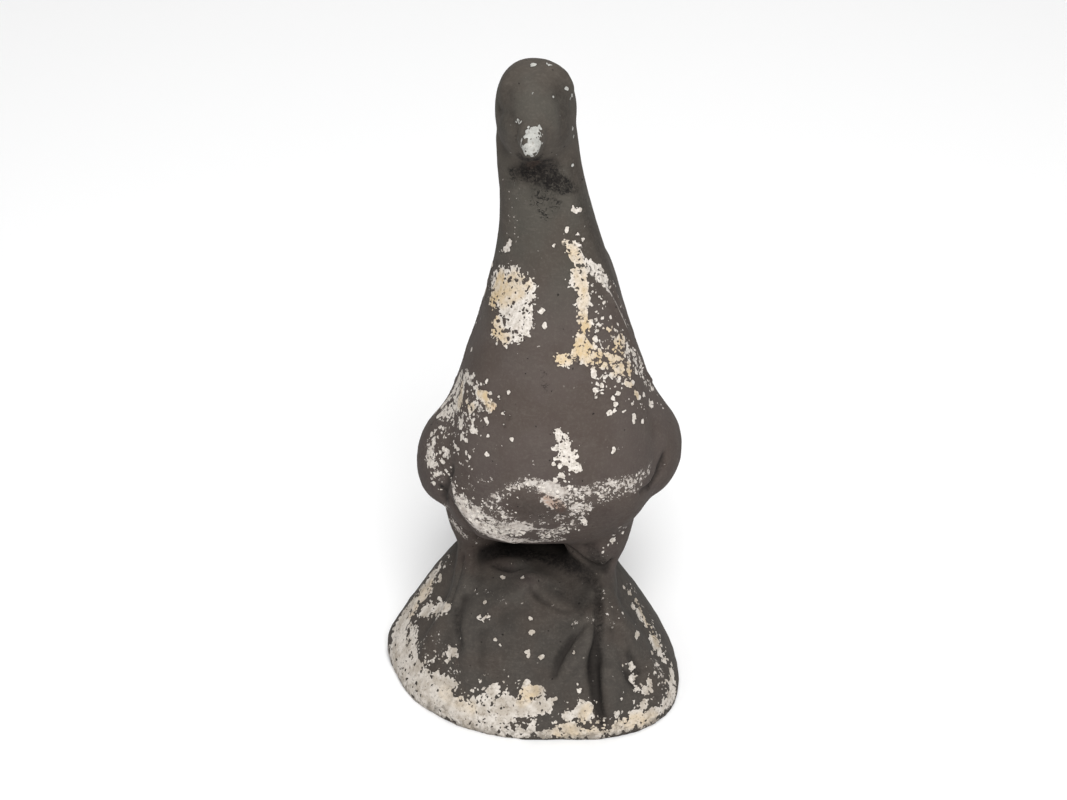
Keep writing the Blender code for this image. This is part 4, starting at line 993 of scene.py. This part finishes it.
# Round the back of the foot a band of cement shows, about 5 mm high and uneven.
BAND_HEIGHT, BAND_UNEVENNESS, BAND_LACE = 5.0, 16.0, 0.8
around_foot = np.arctan2(places[:, 0], back)
ring_points = np.stack([np.cos(around_foot), np.sin(around_foot), 0.0 * around_foot], 1)
band = BAND_HEIGHT + BAND_UNEVENNESS * np.maximum(noise_at(ring_points, 0.55, 7), -0.25)
back_rim = ramp(back, -20.0, 5.0) * (band - NO_FLAKE) + NO_FLAKE - np.maximum(places[:, 2], 0.0)
lace = np.where(back_rim > chip, BAND_LACE, lace)
chip = np.maximum(chip, np.clip(back_rim, NO_FLAKE, -NO_FLAKE))
fields = {
    "chip": chip,
    "lace": neighbour_mean(lace, 2),
    "speckle": speckle,
    "scuff": scuff,
    "warm": soft_field(spines(OCHRE, {})) * front_only,
    "rust": soft_field(spines(RUST, {})) * front_only,
    "painted_shade": soft_field(spines(PAINTED_SHADE, {}), core=0.3) * front_only,
    # painted shade: where shadow and shade are painted dark
    "crackle": soft_field(spines(CRACKLE, {}), core=0.3) * front_only,
    # hollow and groove carry painted shade for the recesses and the feather grooves
    "hollow": np.clip(hollow, -1.5, 1.5),
    "groove": ramp(line_depth, 0.0, 0.2) * behind,
}
for name, values in fields.items():
    attribute = mesh.attributes.new(name, "FLOAT", "POINT")
    attribute.data.foreach_set("value", values.astype(np.float32))
    print(f"{name}: {float((values > 0).mean()):.0%} of the points")
PAINT_FILM = 0.25
off_the_ground = places[:, 2] > 2.0
places = places - normals * (PAINT_FILM * ramp(chip, 0.0, 1.2) * off_the_ground)[:, None]
normals = normals_now()

# %% [markdown]
# ## The finish
# Two layers of one matt finish: dark paint over pale cement. The fields say roughly where the cement
# shows, and noise in the material's own space adds the ragged edge, the dark pores inside larger flakes,
# the worm-like speckle and the dry-brush grain. A Bump node sinks the bare places below the paint.

# %% Small helpers for the material
finish = bpy.data.materials.new("worn paint on cement")
finish.use_nodes = True
tree = finish.node_tree
shader = tree.nodes["Principled BSDF"]
spot = tree.nodes.new("ShaderNodeTexCoord").outputs["Object"]
SPOT_LEAN = math.radians(-27.0)
SPOT_STRETCH = 1.7


def put(value, socket):
    """Links a socket, or sets a number."""
    if isinstance(value, (int, float)):
        socket.default_value = value
    else:
        tree.links.new(value, socket)


def maths(operation, a, b=0.0):
    """One Math node. Each value is a number or another node's output."""
    node = tree.nodes.new("ShaderNodeMath")
    node.operation = operation
    for socket, value in zip(node.inputs, (a, b)):
        put(value, socket)
    return node.outputs[0]


def times(a, b):
    return maths("MULTIPLY", a, b)


def plus(a, b):
    return maths("ADD", a, b)


def minus(a, b):
    return maths("SUBTRACT", a, b)


def field(name):
    node = tree.nodes.new("ShaderNodeAttribute")
    node.attribute_name = name
    return node.outputs["Fac"]


def moved_by(seed, vector, stretch=(1.0, 1.0, 1.0)):
    """The vector, stretched and moved so far that each seed meets other noise."""
    node = tree.nodes.new("ShaderNodeMapping")
    node.inputs["Scale"].default_value = stretch
    node.inputs["Location"].default_value = (seed, seed * 0.7, seed * 1.3)
    tree.links.new(vector, node.inputs["Vector"])
    return node.outputs[0]


def noise_texture(vector, size, detail):
    """A Noise Texture node with features of size mm."""
    node = tree.nodes.new("ShaderNodeTexNoise")
    node.inputs["Scale"].default_value = 1.0 / (size * MM)
    node.inputs["Detail"].default_value = detail
    tree.links.new(vector, node.inputs["Vector"])
    return node


def clouds(size, detail=2.0, rough=0.5, twist=0.0, stretch=(1.0, 1.0, 1.0), seed=0.0):
    """Noise about 0, from -0.5 to 0.5, with features of size mm."""
    node = noise_texture(moved_by(seed, spot, stretch), size, detail)
    node.inputs["Roughness"].default_value = rough
    node.inputs["Distortion"].default_value = twist
    return minus(node.outputs["Fac"], 0.5)


def warped(size, amount):
    """Object coordinates, drawn out from back to front on a slant, and pushed about by amount mm."""
    drawn_out = tree.nodes.new("ShaderNodeMapping")
    drawn_out.vector_type = "TEXTURE"
    drawn_out.inputs["Rotation"].default_value = (SPOT_LEAN, 0.0, 0.0)
    drawn_out.inputs["Scale"].default_value = (1.0, SPOT_STRETCH, 1.0)
    tree.links.new(spot, drawn_out.inputs["Vector"])
    push = tree.nodes.new("ShaderNodeVectorMath")
    push.operation = "MULTIPLY_ADD"
    tree.links.new(noise_texture(spot, size, 2.0).outputs["Color"], push.inputs[0])
    push.inputs[1].default_value = (2.0 * amount * MM,) * 3
    tree.links.new(drawn_out.outputs[0], push.inputs[2])
    return push.outputs[0]


uneven_spot = warped(2.2, 1.3)


def cells(size, seed):
    """Voronoi cells of size mm: the distance from each centre in cell widths, and a random number."""
    node = tree.nodes.new("ShaderNodeTexVoronoi")
    node.inputs["Scale"].default_value = 1.0 / (size * MM)
    tree.links.new(moved_by(seed, uneven_spot), node.inputs["Vector"])
    split = tree.nodes.new("ShaderNodeSeparateColor")
    tree.links.new(node.outputs["Color"], split.inputs[0])
    return node.outputs["Distance"], split.outputs[0]


def crisp(value, edge, softness):
    """0 below the edge and 1 above it, with a narrow blend. A minus softness turns it round."""
    node = tree.nodes.new("ShaderNodeMapRange")
    node.interpolation_type = "SMOOTHSTEP"
    put(value, node.inputs["Value"])
    node.inputs["From Min"].default_value = edge - softness
    node.inputs["From Max"].default_value = edge + softness
    return node.outputs["Result"]


def srgb(red, green, blue):
    """A colour given as 0 to 255, as linear light."""
    scaled = [v / 255.0 for v in (red, green, blue)]
    return tuple(v / 12.92 if v <= 0.04045 else ((v + 0.055) / 1.055) ** 2.4 for v in scaled) + (1.0,)


def blend(amount, under, over):
    """Mixes two colours, each a socket or a tuple."""
    node = tree.nodes.new("ShaderNodeMix")
    node.data_type = "RGBA"
    put(amount, node.inputs["Factor"])
    for value, socket in ((under, node.inputs[6]), (over, node.inputs[7])):
        if isinstance(value, tuple):
            socket.default_value = value
        else:
            tree.links.new(value, socket)
    return node.outputs[2]


def washed(colour, *coats):
    """Lays thin coats over a colour. Each one says where it lies, how strongly, and its tint."""
    for share, strength, tint in coats:
        colour = blend(times(share, strength), colour, srgb(*tint))
    return colour


def most(a, b):
    return maths("MAXIMUM", a, b)


SPOT_RADIUS, SPOT_GROWTH, SPOT_SPREAD = 0.21, 0.33, 0.14


def blobs(size, density, seed):
    """Spots, one to a cell. A higher density gives more and larger ones, until they join like coral."""
    from_centre, chance = cells(size, seed)
    present = crisp(minus(density, chance), 0.0, 0.02)
    radius = plus(SPOT_RADIUS, times(density, SPOT_GROWTH))
    radius = minus(radius, times(chance, SPOT_SPREAD))
    return times(present, crisp(minus(radius, from_centre), 0.0, 0.04))


print("material starts from", shader.name)

# %% Where the cement shows
HEAD_FROM, NECK_FROM, BREAST_FROM = 254.0, 205.0, 120.0
split = tree.nodes.new("ShaderNodeSeparateXYZ")
tree.links.new(spot, split.inputs[0])
high = maths("DIVIDE", split.outputs["Z"], MM)
drifting = plus(high, times(clouds(30.0, 2.0, seed=30.0), 60.0))
above_rock = crisp(high, ROCK_TOP, 8.0)

# Flakes: the soft edge is broken by lobes and teeth, wider on the large ones, and holds dark pores.
chip_field, lace_field = field("chip"), field("lace")
ragged = times(times(clouds(5.5, 2.0, 0.55), 9.5), plus(lace_field, 0.05))
finer = times(clouds(2.1, 1.2, 0.5, seed=3.0), plus(times(lace_field, 9.0), 2.2))
edge_value = plus(chip_field, plus(ragged, finer))
flake = crisp(edge_value, 0.05, 0.07)
pore_share = plus(0.46, times(clouds(8.0, 1.0, seed=8.0), 1.8))
pore_share = times(pore_share, plus(0.40, times(above_rock, 0.60)))
on_head = crisp(high, HEAD_FROM, 4.0)
pore_share = times(pore_share, minus(1.0, times(on_head, 0.7)))
pore = most(blobs(1.9, pore_share, 7.0), blobs(3.6, times(pore_share, 0.75), 9.0))
pore = times(pore, crisp(lace_field, 0.16, 0.14))
flake = times(flake, minus(1.0, pore))
fringe = times(crisp(chip_field, -1.4, 1.8), crisp(lace_field, 0.3, 0.25))
fringe = times(fringe, crisp(chip_field, 1.5, -1.5))

# Speckle: spots of three sizes that join up where the field is strong, and a fringe round the flakes.
speckle_field = field("speckle")
patches = times(clouds(8.0, 2.0, seed=12.0), 1.1)
density = times(speckle_field, plus(0.92, patches))
density = most(density, times(fringe, 0.55))
small_blob = blobs(1.7, density, 5.0)
middle_blob = blobs(2.3, times(density, 0.62), 16.0)
large_blob = blobs(3.1, minus(density, 0.14), 6.0)
speckled = most(small_blob, most(middle_blob, large_blob))

# Scuffs: a dry brush catches fine grain and a few coarse grits.
scuff_field = field("scuff")
sideways = clouds(1.2, 2.0, 0.6, 0.0, (0.4, 1.0, 1.2), 4.0)
grain = plus(clouds(1.35, 3.0, 0.7, 0.2, seed=2.0), times(sideways, 0.3))
grain = plus(grain, times(clouds(5.5, 2.0, 0.5, seed=21.0), 0.6))
brushed = crisp(plus(grain, times(scuff_field, 0.30)), 0.225, 0.015)
grit = times(scuff_field, plus(0.72, times(clouds(5.0, 3.0, 0.6, seed=22.0), 2.0)))
brushed = most(brushed, blobs(1.5, times(grit, 0.85), 25.0))
brushed = times(brushed, crisp(scuff_field, 0.05, 0.04))
bare = most(flake, speckled)
print("masks: flake, pores, blobs, brushed")

# %% Colours of the paint
# The tone changes with height, from the head through the breast and the belly to the rock.
paint = blend(crisp(drifting, NECK_FROM, 30.0), srgb(80, 71, 67), srgb(70, 67, 61))
paint = blend(crisp(drifting, BREAST_FROM, 22.0), srgb(70, 61, 58), paint)
paint = blend(crisp(drifting, ROCK_TOP, 9.0), srgb(62, 58, 54), paint)
# Then broad and small patches, dust, brush streaks, rubbed tone, a painted shadow line round each
# flake, and painted shade in the hollows and the feather grooves.
broad = crisp(clouds(24.0, 2.0, 0.5, seed=31.0), 0.0, 0.12)
patchy = crisp(clouds(6.0, 4.0, 0.6, seed=33.0), 0.0, 0.22)
dust = crisp(clouds(1.3, 3.0, 0.7, seed=35.0), 0.10, 0.14)
streaks = crisp(clouds(1.6, 3.0, 0.65, 1.2, (0.3, 0.3, 1.0), 36.0), 0.08, 0.12)
streaks = times(streaks, crisp(clouds(14.0, 2.0, 0.6, seed=34.0), 0.0, 0.1))
paint = washed(
    paint,
    (broad, 0.40, (66, 55, 48)),
    (patchy, 0.22, (86, 80, 73)),
    (dust, 0.22, (104, 98, 90)),
    (streaks, 0.24, (98, 91, 84)),
    (scuff_field, 0.10, (140, 134, 127)),
    # painted shadow: a dark line round each flake, the shadow of the paint's edge
    (crisp(edge_value, -0.35, 0.35), 0.35, (40, 34, 30)),
    # painted shade: darker paint in the hollows and in the grooves between the feathers
    (crisp(field("hollow"), 0.40, 0.5), 0.8, (36, 32, 29)),
    (field("groove"), 0.65, (34, 30, 27)),
)
print("paint colours done")

# %% Painted shade, rust, crackle and pin holes
mottle = times(clouds(1.7, 3.0, 0.7, 0.8, seed=37.0), 3.0)
# Painted shade: near-black shadow under the beak and the belly and in the crevices, and darker temples and
# neck edges, mottled by noise.
painted_shade = times(field("painted_shade"), plus(0.80, mottle))
paint = blend(maths("MINIMUM", painted_shade, 0.96), paint, srgb(21, 17, 15))
reddish = times(field("rust"), plus(0.7, times(clouds(1.8, 3.0, 0.6, seed=38.0), 2.0)))

# Cracks follow the zero line of a noise, and pin holes sit in some of the cells.
wandering = maths("ABSOLUTE", clouds(3.0, 2.0, 0.55, 0.8, seed=42.0))
crack = minus(1.0, crisp(wandering, 0.028, 0.012))
crack = times(crack, crisp(clouds(3.4, 2.0, 0.6, seed=40.0), -0.05, 0.04))
crack = most(crack, crisp(clouds(1.3, 2.0, 0.6, 0.8, seed=44.0), 0.13, 0.03))
crack_share = plus(field("crackle"), times(clouds(4.0, 2.0, seed=41.0), 1.2))
crack = times(crack, crisp(crack_share, 0.42, 0.25))
pin_distance, pin_chance = cells(5.0, 15.0)
pin = times(crisp(minus(0.08, pin_distance), 0.0, 0.03), crisp(pin_chance, 0.4, 0.02))
paint = washed(paint, (reddish, 0.40, (84, 56, 44)), (crack, 0.85, (14, 12, 11)), (pin, 0.8, (20, 17, 15)))
print("soot, rust, crackle and pin holes done")

# %% Colours of the bare cement
# Two pale greys in patches, warmer on the rock and greyer on the beak, then ochre, grime and dirt.
cement = blend(crisp(clouds(1.9, 4.0, 0.7, seed=43.0), 0.0, 0.16), srgb(219, 212, 204), srgb(188, 180, 170))
cement = washed(cement, (minus(1.0, crisp(drifting, 60.0, 14.0)), 0.5, (194, 187, 178)))
beak_patches = crisp(clouds(2.2, 3.0, 0.6, seed=46.0), 0.0, 0.12)
beak_tint = blend(beak_patches, srgb(158, 159, 155), srgb(178, 178, 173))
cement = blend(times(on_head, 0.9), cement, beak_tint)
tinted = times(field("warm"), plus(0.85, times(clouds(5.0, 3.0, 0.6, seed=45.0), 2.4)))
low = minus(1.0, above_rock)
grime = times(crisp(clouds(7.0, 3.0, 0.6, seed=48.0), 0.03, 0.10), low)
dirt = crisp(plus(clouds(1.5, 3.0, 0.65, seed=47.0), times(low, 0.02)), 0.11, 0.05)
foot = minus(1.0, crisp(plus(high, times(clouds(3.0, 3.0, 0.65, seed=50.0), 26.0)), 2.6, 2.0))
cement = washed(
    cement,
    (maths("MINIMUM", tinted, 1.0), 0.85, (196, 171, 129)),
    (grime, 0.55, (150, 138, 122)),
    (dirt, 0.48, (104, 94, 82)),
    (foot, 0.5, (84, 77, 68)),
    (reddish, 0.7, (182, 146, 120)),
)
rubbed = blend(crisp(clouds(2.4, 2.0, 0.6, seed=49.0), 0.0, 0.2), srgb(206, 199, 192), srgb(168, 159, 151))
rubbed = blend(reddish, rubbed, srgb(164, 134, 114))
worn = blend(times(brushed, 0.88), paint, rubbed)
put(blend(bare, worn, cement), shader.inputs["Base Color"])
shader.inputs["Roughness"].default_value = 0.88
shader.inputs["Specular IOR Level"].default_value = 0.25
print("colour linked")

# %% Relief finer than the mesh
RELIEF = [
    (bare, -0.16),
    (clouds(0.9, 3.0, 0.6, seed=51.0), 0.10),
    (clouds(3.5, 2.0, 0.5, seed=53.0), 0.22),
    (crack, -0.25),
    (pin, -0.35),
    (brushed, 0.04),
]
height_mm = 0.0
for share, millimetres in RELIEF:
    height_mm = plus(height_mm, times(share, millimetres))
bump = tree.nodes.new("ShaderNodeBump")
bump.inputs["Strength"].default_value = 0.8
bump.inputs["Distance"].default_value = MM
put(height_mm, bump.inputs["Height"])
put(bump.outputs["Normal"], shader.inputs["Normal"])
mesh.materials.clear()
mesh.materials.append(finish)
mesh.shade_smooth()
print("finish on", casting.name)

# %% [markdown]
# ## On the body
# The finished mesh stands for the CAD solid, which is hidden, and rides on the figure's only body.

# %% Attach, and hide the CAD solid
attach(casting, "root")
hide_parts("dove_on_rock")
